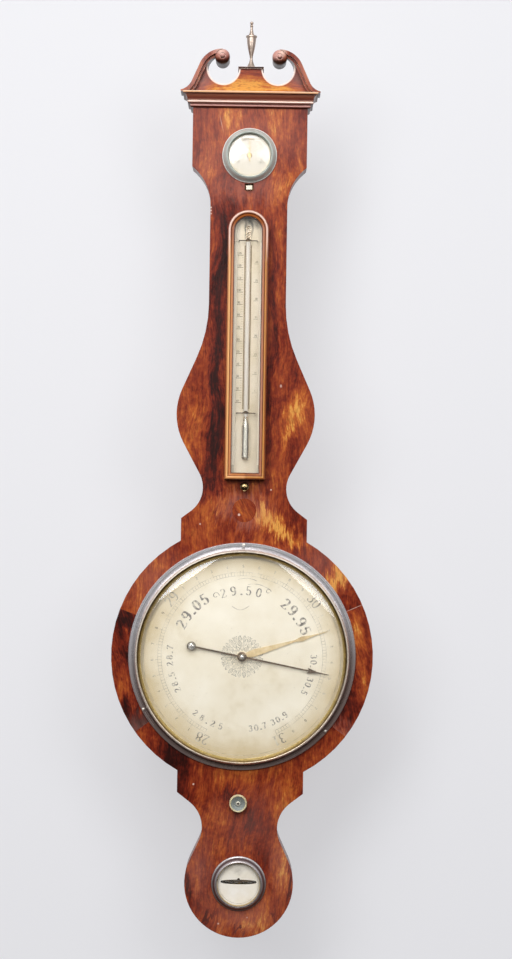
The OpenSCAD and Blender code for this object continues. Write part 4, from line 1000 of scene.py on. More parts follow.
# Solid mahogany mouldings are planed along the grain, so they are straight grained; the cornice's bright fillets
# and dark quirks are painted highlights and shade.
CORNICE_WOOD = PlanedCornice(
    "mahogany cornice planed and polished", "mahogany_moulding", seed=1.7, tone=0.52, across=True,
    grain_mm=(7.0, 120.0),
)
NECK_WOOD = CarvedNeck(
    "mahogany swan neck carved and polished", "mahogany_moulding", seed=2.6, tone=0.56, grain_mm=(6.0, 60.0),
    gloss=0.3, fray=0.12,
    # painted sheen over the scrolls and necks, and painted highlights on the scrolls in the pale marks
    bloom=((-35, 735, 16, 16, 0.95), (35, 735, 16, 16, 1.0), (-72, 712, 20, 34, 0.2), (72, 712, 20, 34, 0.2)),
    pale=((-37, 738, 6, 6, 0.5), (38, 737, 6, 7, 0.55)),
)
# the cap is drawn in the darkest tones of the veneer
CAP_WOOD = FiguredMahogany(
    "mahogany cap planed and drawn very dark", "mahogany_moulding", seed=6.1, tone=0.12, across=True,
)
# Dusting rubs the polish off every sharp edge and leaves it pale, and these pale edges are also painted highlights.
RUBBED_AND_HIGHLIGHT_EDGE = FiguredMahogany(
    "mahogany edge rubbed bare and painted highlight", "mahogany_moulding",
    tones=("#b98468", "#dcb094", "#ecccb6", "#f6dfd0", "#fbeee4"), seed=4.4, tone=0.6, grain_mm=(4.0, 20.0),
)
BOARD_WOOD = PedimentBoard(
    "mahogany pediment board polished", "mahogany_moulding",
    tones=("#2a0a06", "#4a130a", "#742513", "#953f1d", "#b4601f", "#d6933a"), seed=9.2, tone=0.48, across=True,
    grain_mm=(12.0, 140.0), fray=0.3, gold=((0, 690, 80, 20, 0.3), (0, 702, 30, 22, 0.06)),
    burnt=((-66, 706, 20, 20, 0.12), (66, 706, 20, 20, 0.12), (0, 720, 20, 8, 0.14)),
    # painted sheen in pinkish patches
    bloom=((-60, 704, 22, 18, 0.2), (60, 704, 22, 18, 0.2)),
)
BOX_WOOD = RubbedMoulding(
    "mahogany box moulding planed and polished", "mahogany_moulding", seed=15.4, tone=0.56,
    grain_mm=(5.0, 120.0), gloss=0.2,
)
# Sawn pine goes grey-brown in two centuries behind a case, with dark late wood standing proud.
PINE = SawnPine("pine carcass sawn and aged", "pine")
DOOR_PINE = SawnPine("pine door planed and aged", "pine", "#9c774a", "#74502c", "#4a3320", ring_mm=5.0)
# Spun brass that lost its lacquer: grey-brown tarnish on the slopes; pale rings are painted highlights, dark rings
# painted shade, and the dial's and level's flanges are painted darker towards the bottom as shade.
BEZEL_BRASS = SpunBezel(
    "brass dial bezel spun and tarnished", "aged_brass", "#c8cad0", "#938e8f", "#7a5643", Lay.RINGS,
    patch_mm=26.0, age=0.4, rough=(0.2, 0.33),
    bands=(
        (123.4, "#c4aa6c"), (125.4, "#b0965a"), (126.2, "#6e552a"), (127.5, "#644d28"), (128.3, "#fff2de"),
        (130.0, "#dfd4c8"), (131.5, "#c8c4c4"), (134.0, "#b2afb1"), (136.0, "#cac9cc"), (139.0, "#dad9dd"),
    ),
    grime=(54.0, -70.0), tilt=10.0, dirt=0.7, skin=0.35,
)
HYGRO_BRASS = SpunBezel(
    "brass hygrometer bezel spun and dulled", "aged_brass", "#b9beb8", "#878c85", "#5f625b", Lay.RINGS,
    middle=(0.0, HYGRO_UP), age=0.4, rough=(0.24, 0.36),
    bands=(
        (25.4, "#8f978f"), (26.6, "#aab2ab"), (29.0, "#c9d0c9"), (31.4, "#cfd5cf"), (32.0, "#868c86"),
        (32.7, "#f7f7f2"), (33.5, "#ecece6"),
    ),
    skin=0.75,
)
LEVEL_BRASS = SpunBezel(
    "brass level bezel spun and tarnished", "aged_brass", "#a8a1a0", "#7a7070", "#5a4f4e", Lay.RINGS,
    middle=(0.0, FOOT_UP), age=0.5, rough=(0.24, 0.38),
    bands=(
        (25.4, "#c4ac70"), (26.0, "#b39a60"), (26.6, "#857c7c"), (28.6, "#bdb6b6"), (30.4, "#6c6264"),
        (31.6, "#8a8182"), (32.7, "#cdc7c6"), (33.5, "#a8a1a0"),
    ),
    grime=(24.0, -20.0), dirt=0.38, skin=0.25,
)
FINIAL_BRASS = WorkedMetal(
    "brass finial turned and dulled", "aged_brass", "#cfc0b4", "#b2a194", "#806f63", Lay.HOOPS,
    rough=(0.36, 0.52),
)
# Turned brass under old lacquer stays yellow with brown freckles.
BRASS = WorkedMetal(
    "brass turned and lacquered", "brass", "#c9a45c", "#a07f43", "#5a4424", Lay.HOOPS, patch_mm=9.0,
)
HAND_BRASS = WorkedMetal(
    "brass set hand filed and faded", "brass", "#d2c2a0", "#bfab84", "#978059", Lay.UPRIGHT, patch_mm=14.0,
    rough=(0.36, 0.55),
)
KNOB_BRASS = WorkedMetal(
    "brass ball knob polished", "brass", "#c7ad79", "#8f7a55", "#4b3d29", Lay.HOOPS, patch_mm=6.0,
    rough=(0.1, 0.24),
)
ADJUSTER_BRASS = WorkedMetal(
    "brass adjuster head silvered", "brass", "#cfc6b6", "#b9ae9c", "#75695a", Lay.ACROSS, patch_mm=5.0, age=0.2,
    rough=(0.3, 0.45),
)
# Silvering paste leaves a soft white grain, and its lacquer yellows from the rim inwards.
DIAL_SILVER = SilveredPlate(
    "brass dial silvered and lacquered", "silvered_brass", "#ebe4d2", "#e3dac4", "#d0c2a2", Lay.RINGS,
    mark_mm=1.6, patch_mm=55.0, rough=(0.42, 0.6),
)
HYGRO_SILVER = SilveredPlate(
    "brass hygrometer plate silvered", "silvered_brass", "#c0bbb0", "#b7b0a2", "#a69b86", Lay.RINGS,
    middle=(0.0, HYGRO_UP), mark_mm=1.2, patch_mm=24.0, rough=(0.4, 0.55), radius=30.0,
)
LEVEL_SILVER = SilveredPlate(
    "brass level plate silvered", "silvered_brass", "#fffaf0", "#f6eede", "#dcd0b6", Lay.RINGS,
    middle=(0.0, FOOT_UP), mark_mm=1.2, patch_mm=24.0, rough=(0.38, 0.55), radius=34.0, silver=0.08,
    # painted shade along the plate's top under the bezel
    smudges=((-1, FOOT_UP + 15, 8, 5, 0.22),),
)
SCALE_SILVER = SilveredPlate(
    "brass thermometer scale silvered", "silvered_brass", "#d0c5b3", "#c6b9a2", "#b0a184", Lay.UPRIGHT,
    middle=(0.0, 380.0), mark_mm=1.1, patch_mm=38.0, rough=(0.42, 0.6), radius=400.0,
    # the wide mark at 546 is a painted shadow of the box's arch; the others are tarnish smears
    smudges=(
        (2, 534, 8, 11, 0.7), (-3, 522, 2.4, 15, 0.7), (4.5, 523, 2.0, 14, 0.65), (11, 529, 6, 10, 0.4, 30),
        (0, 546, 17, 9, 0.8), (0, 504, 9, 5, 0.2),
    ),
)
# Black wax turns grey in the cuts, and silver shows again where it has crumbled out.
WAX = EngravingWax("wax filled engraving", "silvered_brass", "#78726a", "#d6cdb9", wear_mm=3.2, wear=0.68)
FADED_WAX = EngravingWax(
    "wax filled engraving worn", "silvered_brass", "#7a7263", "#d0c7b3", wear_mm=7.0, wear=0.75,
)
ROSETTE_WAX = EngravingWax(
    "wax filled rosette worn", "silvered_brass", "#807b6b", "#dad1bd", wear_mm=2.4, wear=0.62,
)
# a painted highlight along the scale's edges
EDGE_HIGHLIGHT_WAX = EngravingWax(
    "silvered edge painted highlight", "silvered_brass", "#fff4de", "#f6e8cc", wear_mm=12.0, wear=0.3,
)
SCALE_WAX = EngravingWax(
    "wax filled scale lines", "silvered_brass", "#6c6350", "#b4a98f", wear_mm=8.0, wear=0.4,
)
# painted shadow of the stem on the scale beside it, painted shade along the top of the hygrometer's plate, and a
# brown spot at that plate's middle
SHADE_AND_SPOT_WAX = EngravingWax(
    "brown painted shade and spot", "silvered_brass", "#7d6b4c", "#9a8866", wear_mm=20.0, wear=0.3,
)
# Steel blued over charcoal turns brown-black once the blue has worn off.
HAND_STEEL = WorkedMetal(
    "steel hand blued and browned", "blued_steel", "#8a7965", "#665747", "#382f27", Lay.UPRIGHT, patch_mm=7.0,
    rough=(0.3, 0.48),
)
POLISHED_STEEL = WorkedMetal(
    "steel boss polished", "blued_steel", "#dedcd6", "#a9a69f", "#5a5650", Lay.RINGS, patch_mm=4.0,
    rough=(0.08, 0.16),
)
STAPLE_WIRE = WorkedMetal(
    "brass staple wire drawn and dark", "brass", "#6b5738", "#46382a", "#2a211a", Lay.ACROSS, patch_mm=4.0,
)
POINTER_STEEL = WorkedMetal(
    "steel pointer filed and gilt", "blued_steel", "#d9c59c", "#bfa677", "#84693f", Lay.UPRIGHT, patch_mm=5.0,
    rough=(0.3, 0.45),
)
SCREW_STEEL = WorkedMetal(
    "steel screw polished", "brass", "#fbf8f2", "#e6e1d8", "#a8a196", Lay.ACROSS, patch_mm=3.0, age=0.2,
    rough=(0.4, 0.55),
)
# Crown glass and drawn tube are clear with slow waves, which bend what shines in them.
DIAL_GLASS = BlownGlass("crown glass dial dome", "glass", wave_mm=90.0, rough=0.02)
SMALL_GLASS = BlownGlass("crown glass small dome", "glass", wave_mm=30.0, rough=0.17)
PANE_GLASS = BlownGlass("crown glass box pane", "glass", "#fdfdfc", wave_mm=45.0)
TUBE_GLASS = BlownGlass("drawn glass tube", "glass", "#f6f6f3", wave_mm=30.0)
STEM_GLASS = BlownGlass("drawn glass stem clouded", "glass", "#efe9e0", wave_mm=30.0, rough=0.06, milk=0.6)
# Mercury is a liquid mirror that dust has greyed.
MERCURY = Quicksilver("mercury under dust", "mercury")
# Tinted spirit darkens the vial and leaves its bubble light.
SPIRIT = BlownGlass("level spirit tinted", "spirit", "#b9a45e", wave_mm=20.0, rough=0.05)
# Turned bone is cream with brown stains, round a grey dish of metal.
BONE = TurnedBone("bone knob turned with metal dish", "bone")
# Putty, cork, gut, silk and straw scatter light and hardly shine.
PUTTY = SoftStuff("linseed putty hardened", "putty", "#7a6038", "#553f22", grain_mm=2.0)
CORK = SoftStuff("cork sliced", "cork", "#a9784a", "#6d4627", grain_mm=1.6)
GUT = SoftStuff("gut cord twisted", "gut", "#b08d50", "#7c5d31", grain_mm=0.9, stretch=3.0, rough=0.55)
SILK = SoftStuff("silk thread twisted", "silk", "#4a443c", "#24201c", grain_mm=0.6, stretch=4.0, rough=0.6)
OAT = SoftStuff("oat beard dried", "oat", "#8a6a3a", "#5c4322", grain_mm=0.7, stretch=4.0, rough=0.7)
# A lit backdrop lightens the shadow that the case throws on it.
WALL_PAINT = StudioPaint("matt backdrop lit from behind", "stage", "#9a9a9c", glow=0.52)
FLOOR_PAINT = StudioPaint("matt floor paint", "stage", "#e3e3e5")


# steps from a point and from a figure to the next one and the gap before it, as shares of a figure's height
POINT_STEP, FIGURE_STEP, FIGURE_GAP = 0.3, 0.72, 0.06


def figure_paths(figure: str) -> list[list[Point]]:
    """Draws a figure as centre lines in a box that is 0.6 wide and 1 high.

    Args:
        figure: One digit or a point.

    Returns:
        The lines, each a list of points.
    """

    def arc(cx: float, cy: float, rx: float, ry: float, start: float = 0, end: float = 360) -> list[Point]:
        """Gives points along part of an ellipse, from one angle to another in degrees."""
        steps = max(4, int(abs(end - start) / 12))
        turns = [math.radians(start + (end - start) * i / steps) for i in range(steps + 1)]
        return [(cx + rx * math.cos(t), cy + ry * math.sin(t)) for t in turns]

    return {
        "0": [arc(0.3, 0.5, 0.25, 0.48)],
        "1": [[(0.12, 0.84), (0.3, 1.0), (0.3, 0.0)], [(0.12, 0.01), (0.48, 0.01)]],
        "2": [arc(0.29, 0.73, 0.22, 0.25, 165, -40) + [(0.06, 0.02), (0.55, 0.02), (0.57, 0.16)]],
        "3": [arc(0.27, 0.76, 0.2, 0.22, 150, -90), arc(0.27, 0.28, 0.25, 0.27, 90, -155)],
        "4": [[(0.4, 0.0), (0.4, 1.0), (0.03, 0.28), (0.58, 0.28)], [(0.28, 0.01), (0.52, 0.01)]],
        "5": [[(0.52, 0.98), (0.14, 0.98), (0.1, 0.54)] + arc(0.28, 0.31, 0.25, 0.3, 130, -155)],
        "6": [arc(0.32, 0.52, 0.27, 0.46, 60, 190), arc(0.3, 0.29, 0.24, 0.28)],
        "7": [[(0.06, 0.84), (0.07, 0.98), (0.55, 0.98), (0.34, 0.5), (0.24, 0.0)]],
        "8": [arc(0.3, 0.76, 0.19, 0.22), arc(0.3, 0.28, 0.24, 0.27)],
        "9": [arc(0.28, 0.48, 0.27, 0.46, 240, 370), arc(0.3, 0.71, 0.24, 0.28)],
        ".": [arc(0.12, 0.06, 0.05, 0.05)],
    }[figure]


def mesh_of(name: str, corners: Sequence[Vector], faces: Sequence[tuple[int, ...]]) -> bpy.types.Mesh:
    """Makes a mesh of corners and faces."""
    mesh = bpy.data.meshes.new(name)
    mesh.from_pydata([tuple(corner) for corner in corners], [], faces)
    mesh.update()
    return mesh


def piece_of(name: str, mesh: bpy.types.Mesh, finish: Finish) -> bpy.types.Object:
    """Makes a piece of a mesh in a finish and puts it in the scene."""
    piece = bpy.data.objects.new(name, mesh)
    bpy.context.scene.collection.objects.link(piece)
    mesh.materials.append(finish.material())
    return piece


@dataclass
class Engraver:
    """Cuts waxed lines into a flat plate.

    Args:
        d: Distance of the plate's face from the wall.
        middle: Place on the bench that the lines are drawn about.
        proud: Distance of the wax from the face.
        corners: Corners cut so far.
        faces: Faces cut so far.
    """

    d: float
    middle: Point = (0.0, 0.0)
    proud: float = 0.03
    corners: list[Point] = field(default_factory=list)
    faces: list[tuple[int, ...]] = field(default_factory=list)

    def stroke(
        self,
        path: Sequence[Point],
        thin: float,
        thick: float,
        at: Point = (0.0, 0.0),
        turn: float = 0.0,
        size: float = 1.0,
    ) -> None:
        """Cuts one line, thick where it runs up its figure and thin where it runs across.

        Args:
            path: Points of its middle.
            thin: Width where it runs across.
            thick: Width where it runs up.
            at: Where the path's origin goes.
            turn: Turn of the path, clockwise in degrees.
            size: Scale of the path.
        """
        start = len(self.corners)
        s, c = math.sin(math.radians(turn)), math.cos(math.radians(turn))
        last = len(path) - 1
        closed = last > 1 and math.dist(path[0], path[-1]) < 1e-6
        for i, (x, y) in enumerate(path):
            if closed and i in (0, last):
                before, after = path[-2], path[1]
            else:
                before, after = path[max(i - 1, 0)], path[min(i + 1, last)]
            run = Vector((after[0] - before[0], after[1] - before[1]))
            run = run.normalized() if run.length > 0 else Vector((1.0, 0.0))
            half = (thin + (thick - thin) * abs(run.y)) / 2
            for side in (-1, 1):
                px, py = x * size - side * run.y * half, y * size + side * run.x * half
                self.corners.append((at[0] + px * c + py * s, at[1] - px * s + py * c))
        for a in range(start, start + 2 * last, 2):
            self.faces.append((a, a + 2, a + 3, a + 1))

    def line(self, path: Sequence[Point], width: float) -> None:
        """Cuts a line of even width."""
        self.stroke(path, width, width)

    def ring(self, radius: float, width: float, start: float = -180.0, end: float = 180.0) -> None:
        """Cuts an arc from one clock angle to another, in degrees."""
        steps = max(12, int(abs(end - start) / 3))
        self.line([clock(start + (end - start) * i / steps, radius) for i in range(steps + 1)], width)

    def tick(self, angle: float, low: float, high: float, width: float) -> None:
        """Cuts a straight mark along a clock angle, from one radius to another."""
        self.line([clock(angle, low), clock(angle, high)], width)

    def number(self, text: str, at: Point, size: float, turn: float, thin: float, thick: float) -> None:
        """Cuts a number with its middle at a point.

        Args:
            text: Its figures.
            at: Its middle.
            size: Height of a figure.
            turn: Its turn, clockwise in degrees.
            thin: Width of the thin strokes as a share of the height.
            thick: Width of the thick strokes as a share of the height.
        """
        steps = [POINT_STEP if figure == "." else FIGURE_STEP for figure in text]
        across = -sum(steps) / 2 + FIGURE_GAP
        for figure, step in zip(text, steps):
            for path in figure_paths(figure):
                moved = [(x + across, y - 0.5) for x, y in path]
                self.stroke(moved, thin * size, thick * size, at, turn, size)
            across += step

    def along(self, text: str, start: float, end: float, radius: float, size: float, thick: float) -> None:
        """Cuts a number that is spread along an arc, its foot inwards when it runs clockwise.

        Args:
            text: Its figures.
            start: Clock angle where it begins, in degrees.
            end: Clock angle where it ends.
            radius: Radius of its middle.
            size: Height of a figure.
            thick: Width of the thick strokes as a share of the height.
        """
        widths = [{".": 0.5, " ": 0.6}.get(figure, 1.0) for figure in text]
        flip = 180 if end < start else 0
        done = 0.0
        for figure, width in zip(text, widths):
            angle = start + (end - start) * (done + width / 2) / sum(widths)
            if figure != " ":
                self.number(figure, clock(angle, radius), size, angle + flip, 0.06, thick)
            done += width

    def finish(self, name: str, wax: Finish) -> None:
        """Makes the cut lines one piece of the case that lies on the plate, with this name and finish."""
        x, up = self.middle
        mesh = mesh_of(name, [bench(x + cx, up + cy, self.d + self.proud) for cx, cy in self.corners], self.faces)
        for polygon in mesh.polygons:
            if polygon.normal.y > 0:
                polygon.flip()
        piece = piece_of(name, mesh, wax)
        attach(piece, Body.CASE.value)
        LOG.info("engraved %s with %d strokes", name, len(self.faces))


@dataclass
class Assembly:
    """A group of pieces of the barometer.
    """

    frame: Frame

    def body_of(self, node: str) -> str:
        """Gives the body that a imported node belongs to."""
        bodies = self.frame["record"]["behaviour"]["bodies"]
        return next(body for body, nodes in bodies.items() if node in nodes)

    def dress(self, finish: Finish, *nodes: str) -> None:
        """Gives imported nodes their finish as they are."""
        for node in nodes:
            mesh = self.frame["nodes"][node].data
            mesh.materials.clear()
            mesh.materials.append(finish.material())
            for polygon in mesh.polygons:
                polygon.material_index = 0
            LOG.info("dressed %s in %s", node, finish.name)

    def ease(self, finish: Finish, edge_mm: float, *nodes: str, worn: Optional[Finish] = None) -> None:
        """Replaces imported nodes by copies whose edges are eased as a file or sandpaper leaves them.

        Args:
            finish: The finish that they get.
            edge_mm: Width of the eased edge.
            *nodes: The nodes.
            worn: The finish of the eased edges where it differs.
        """
        flat, smooth, sharp = (math.radians(angle) for angle in (0.4, 32, 34))
        for node in nodes:
            work = bmesh.new()
            work.from_mesh(self.frame["nodes"][node].data)
            bmesh.ops.remove_doubles(work, verts=work.verts, dist=2e-6)
            bmesh.ops.dissolve_limit(work, angle_limit=flat, verts=work.verts, edges=work.edges)
            for edge in work.edges:
                edge.smooth = edge.calc_face_angle(math.pi) < smooth
            for face in work.faces:
                face.smooth = True
            mesh = bpy.data.meshes.new(node + "_eased")
            work.to_mesh(mesh)
            work.free()
            piece = piece_of(node + "_eased", mesh, finish)
            bevel = piece.modifiers.new("eased edge", "BEVEL")
            bevel.width = edge_mm * MM
            bevel.segments = 2
            bevel.limit_method = "ANGLE"
            bevel.angle_limit = sharp
            bevel.harden_normals = True
            if worn:
                mesh.materials.append(worn.material())
                bevel.material = 1
            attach(piece, self.body_of(node))
            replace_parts(piece, node)
            LOG.info("eased %s in %s", node, finish.name)

    def stretch(self, finish: Finish, node: str, body: Body, hangs: bool = False) -> None:
        """Replaces a packed thread or column by a still copy in its packed place.

        Args:
            finish: The finish that it gets.
            node: The node.
            body: Not used.
            hangs: Not used.
        """
        mesh = self.frame["nodes"][node].data.copy()
        mesh.materials.clear()
        piece = piece_of(node + "_stretched", mesh, finish)
        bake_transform(piece)
        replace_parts(piece, node)
        LOG.info("stretched %s in %s", node, finish.name)

    def dome(self, node: str, finish: Finish, middle: Point, rise: float, thick: float) -> None:
        """Replaces a packed glass by a blown dome of even curve, whose highlights run clean.

        Args:
            node: The glass.
            finish: The finish that it gets.
            middle: Place of its axis on the bench.
            rise: Height of the dome.
            thick: Thickness of the glass.
        """
        low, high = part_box(node)
        radius, top = (high.x - low.x) / 2 / MM, -low.y / MM
        ball = (radius**2 + rise**2) / (2 * rise)
        turns = [math.asin(radius / ball) * i / 32 for i in range(33)]
        profile = [
            (skin * math.sin(t), top - ball + skin * math.cos(t))
            for skin, way in ((ball - thick, turns), (ball, turns[::-1]))
            for t in way
        ]
        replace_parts(self.turned(node + "_blown", profile, middle, finish, Body.CASE, 128), node)

    def turned(
        self, name: str, profile: Sequence[Point], middle: Point, finish: Finish, body: Body, around: int = 40
    ) -> bpy.types.Object:
        """Turns a new piece about an axis that points out from the wall.

        Args:
            name: Its name.
            profile: Radius and distance from the wall, from the back outwards.
            middle: Place of its axis on the bench.
            finish: Its finish.
            body: The body that it rides on.
            around: How many flats it has around.

        Returns:
            The piece.
        """
        corners = []
        for radius, d in profile:
            for i in range(around):
                x, y = clock(360 * i / around, max(radius, 1e-4))
                corners.append(bench(middle[0] + x, middle[1] + y, d))
        faces = [tuple(range(around)), tuple(range(len(corners) - 1, len(corners) - around - 1, -1))]
        for row in range(len(profile) - 1):
            for i in range(around):
                a, b = row * around + i, row * around + (i + 1) % around
                faces.append((a, a + around, b + around, b))
        mesh = mesh_of(name, corners, faces)
        work = bmesh.new()
        work.from_mesh(mesh)
        bmesh.ops.recalc_face_normals(work, faces=work.faces)
        for face in work.faces:
            face.smooth = True
        work.to_mesh(mesh)
        work.free()
        piece = piece_of(name, mesh, finish)
        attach(piece, body.value)
        LOG.info("turned %s in %s", name, finish.name)
        return piece

    def build(self) -> None:
        """Makes and dresses the group's pieces."""
        raise NotImplementedError


@dataclass
class Case(Assembly):
    """Pine carcass, veneers, back door and what hangs it on the wall.

    Args:
        leaf_edge: Eased edge of a veneer leaf.
        band_edge: Eased edge of the bent edge veneer.
        board_edge: Eased edge of the pine boards.
        plate_edge: Eased edge of the hanger plate.
    """

    leaf_edge: float = 0.28
    band_edge: float = 0.5
    board_edge: float = 0.6
    plate_edge: float = 0.3

    def build(self) -> None:
        """Dresses wood and hanging brass."""
        self.ease(PINE, self.board_edge, "carcass", "trunk_cover")
        self.ease(DOOR_PINE, self.board_edge, "back_door")
        self.ease(TRUNK_VENEER, self.leaf_edge, "trunk_veneer")
        self.ease(RING_VENEER, self.leaf_edge, "ring_veneers")
        self.ease(FOOT_VENEER, self.leaf_edge, "foot_veneer")
        self.ease(PLUG_VENEER, self.leaf_edge, "veneer_plug")
        self.ease(EDGE_VENEER, self.band_edge, "edge_veneer")
        self.ease(BRASS, self.plate_edge, "hanger_plate")
        self.dress(BRASS, "brass_screws", "door_pins", "door_screw")


@dataclass
class Pediment(Assembly):
    """Cornice, scrolled pediment, plinth cap and urn finial.

    Args:
        edge: Eased edge of the mouldings.
        neck_edge: Eased edge of the swan necks.
        board_edge: Eased edge of the board behind them.
    """

    edge: float = 0.45
    neck_edge: float = 0.7
    board_edge: float = 0.5

    def build(self) -> None:
        """Dresses the mouldings and the finial."""
        self.ease(CORNICE_WOOD, self.edge, "cornice")
        self.ease(CAP_WOOD, self.edge, "plinth_cap", worn=RUBBED_AND_HIGHLIGHT_EDGE)
        self.ease(NECK_WOOD, self.neck_edge, "swan_necks", worn=RUBBED_AND_HIGHLIGHT_EDGE)
        self.ease(BOARD_WOOD, self.board_edge, "pediment_board")
        self.dress(FINIAL_BRASS, "finial")


@dataclass
class MainDial(Assembly):
    """Silvered dial with its bezel, glass, hands and engraving.

    Args:
        face_d: Distance of the plate's face from the wall.
        first: Lowest reading, in inches of mercury.
        last: Highest reading.
        sweep: Half of the scale's sweep, in degrees.
        scale_r: Inner and outer radius of the divisions.
        border_r: Radius of the line near the plate's rim.
        reading_r: Radius of the whole readings.
        tenth_r: Radius of the tenths.
        rosette_r: Radius of the rosette.
        bold: Readings where weather words stand: text, clock angles of both ends, radius, height and thick stroke.
        hand_at: Clock angle of the pressure hand at rest.
        hand_d: Distance of the pressure hand's face from the wall.
        tail: Distance of the counterpoise from the middle.
        poise_r: Radius of the counterpoise's dome.
        hub_r: Radius of the hub's dome.
        glass: Rise of the glass and its thickness.
        bezel_edge: Eased edge of the bezel.
        screw_edge: Eased edge of its screws.
        hand_edge: Eased edge of the hands.
    """

    face_d: float = 39.5
    first: int = 28
    last: int = 31
    sweep: float = 155.0
    scale_r: Point = (98.5, 102.9)
    border_r: float = 120.5
    reading_r: float = 111.0
    tenth_r: float = 110.0
    rosette_r: float = 25.6
    bold: tuple[Reading, ...] = (
        ("29.05", -67.0, -30.0, 83.6, 12.6, 0.22),
        ("29.95", 35.0, 71.0, 83.6, 12.6, 0.22),
        ("28.5 28.7", -121.0, -81.0, 88.4, 7.4, 0.22),
        ("30.3 30.5", 87.0, 121.5, 87.6, 7.4, 0.22),
        ("28.25", -138.0, -167.0, 89.0, 7.2, 0.22),
        ("30.7 30.9", 174.5, 140.5, 88.4, 7.2, 0.22),
        ("29.50", -22.0, 18.5, 80.5, 10.5, 0.17),
    )
    hand_at: float = 101.0
    hand_d: float = 43.6
    tail: float = 63.0
    poise_r: float = 5.3
    hub_r: float = 3.4
    glass: Point = (14.0, 2.2)
    bezel_edge: float = 0.3
    screw_edge: float = 0.4
    hand_edge: float = 0.14

    def angle(self, reading: float) -> float:
        """Gives the clock angle of a reading."""
        return self.sweep * (2 * (reading - self.first) / (self.last - self.first) - 1)

    def divisions(self) -> None:
        """Cuts divisions and whole readings with their tenths into the plate."""
        cutter = Engraver(self.face_d)
        low, high = self.scale_r
        # real divisions are 0.1 mm wide and are drawn at 0.3 mm so that they show
        for step in range(0, 100 * (self.last - self.first) + 1, 2):
            longer = 3.2 if step % 10 == 0 else 1.4 if step % 5 == 0 else 0.0
            cutter.tick(self.angle(self.first + step / 100), low, high + longer, 0.3)
        cutter.ring(low, 0.3, -self.sweep, self.sweep)
        cutter.ring(high, 0.25, -self.sweep, self.sweep)
        cutter.ring(self.border_r, 0.35)
        for reading in range(self.first, self.last + 1):
            angle = self.angle(reading)
            cutter.number(str(reading), clock(angle, self.reading_r), 12.0, angle, 0.05, 0.15)
        for tenth in range(self.first * 10, self.last * 10 + 1):
            if tenth % 10:
                angle = self.angle(tenth / 10)
                cutter.number(str(tenth % 10), clock(angle, self.tenth_r), 3.4, angle, 0.1, 0.2)
        cutter.finish("dial_divisions", FADED_WAX)

    def readings(self) -> None:
        """Cuts the bold readings."""
        cutter = Engraver(self.face_d)
        for row in self.bold:
            cutter.along(*row)
        cutter.finish("dial_readings", WAX)

    def flourish(self) -> None:
        """Cuts the pen strokes that curl about the middle reading."""
        cutter = Engraver(self.face_d)
        steps = [i / 18 for i in range(19)]
        bows = ((-6.0, 17.0, 94.0, 2.2, -1.5), (6.0, 33.0, 88.0, 3.0, -6.0), (-13.0, 8.0, 61.0, -4.6, 1.0))
        for x0, x1, up, bow, fall in bows:
            line = [(x0 + (x1 - x0) * t, up + bow * math.sin(math.pi * t) + fall * t) for t in steps]
            cutter.stroke(line, 0.35, 1.1)
        for x0, up, size in ((-33.0, 74.0, 4.2), (31.0, 79.5, 3.4)):
            spiral = [(size * (1 - 0.6 * t), 5.6 * t) for t in steps]
            cutter.stroke([(x0 + r * math.cos(a), up + r * math.sin(a)) for r, a in spiral], 0.35, 0.9)
        cutter.finish("dial_flourish", FADED_WAX)

    def rosette(self) -> None:
        """Cuts the rosette of leaves about the hands."""
        cutter = Engraver(self.face_d)
        for count, low, high, width, shift in (
            (12, 7.2, 13.6, 2.2, 0.0),
            (16, 12.6, 19.6, 2.2, 11.25),
            (24, 18.2, self.rosette_r, 2.0, 7.5),
        ):
            leaf = []
            for t in (step / 24 for step in range(25)):
                rise = 2 * min(t, 1 - t)
                leaf.append((math.sin(math.pi * rise) * width * (-1 if t <= 0.5 else 1), low + (high - low) * rise))
            for angle in (360 * i / count + shift for i in range(count)):
                cutter.stroke(leaf, 0.45, 0.6, turn=angle)
                for up in (low + (high - low) * hatch for hatch in (0.3, 0.5, 0.7)):
                    vein = [(-width * 0.45, up - 0.8), (0.0, up), (width * 0.45, up - 0.8)]
                    cutter.stroke(vein, 0.4, 0.5, turn=angle)
        eighths = [a * math.pi / 4 for a in range(9)]
        for i in range(32):
            x, y = clock(11.25 * i + 5.6, self.rosette_r - 0.6)
            cutter.line([(x + 0.5 * math.cos(a), y + 0.5 * math.sin(a)) for a in eighths], 0.5)
        cutter.finish("dial_rosette", ROSETTE_WAX)

    def build(self) -> None:
        """Dresses the dial and cuts its engraving."""
        self.dress(DIAL_SILVER, "dial_plate")
        self.ease(BEZEL_BRASS, self.bezel_edge, "dial_bezel")
        self.dome("dial_glass", DIAL_GLASS, (0.0, 0.0), *self.glass)
        self.dress(PUTTY, "glass_putty")
        self.ease(SCREW_STEEL, self.screw_edge, "bezel_screws")
        self.ease(HAND_STEEL, self.hand_edge, "pressure_hand")
        self.ease(HAND_BRASS, self.hand_edge, "set_hand")
        turns = [math.radians(15 * i) for i in range(7)]
        for name, middle, radius, base, rise in (
            ("counterpoise_dome", clock(self.hand_at + 180, self.tail), self.poise_r, self.hand_d + 0.4, 3.6),
            ("hub_dome", (0.0, 0.0), self.hub_r, self.hand_d + 2.2, 2.6),
        ):
            profile = [(radius * math.cos(t), base + rise * math.sin(t)) for t in turns]
            self.turned(name, profile, middle, POLISHED_STEEL, Body.INDICATOR)
        self.divisions()
        self.readings()
        self.flourish()
        self.rosette()


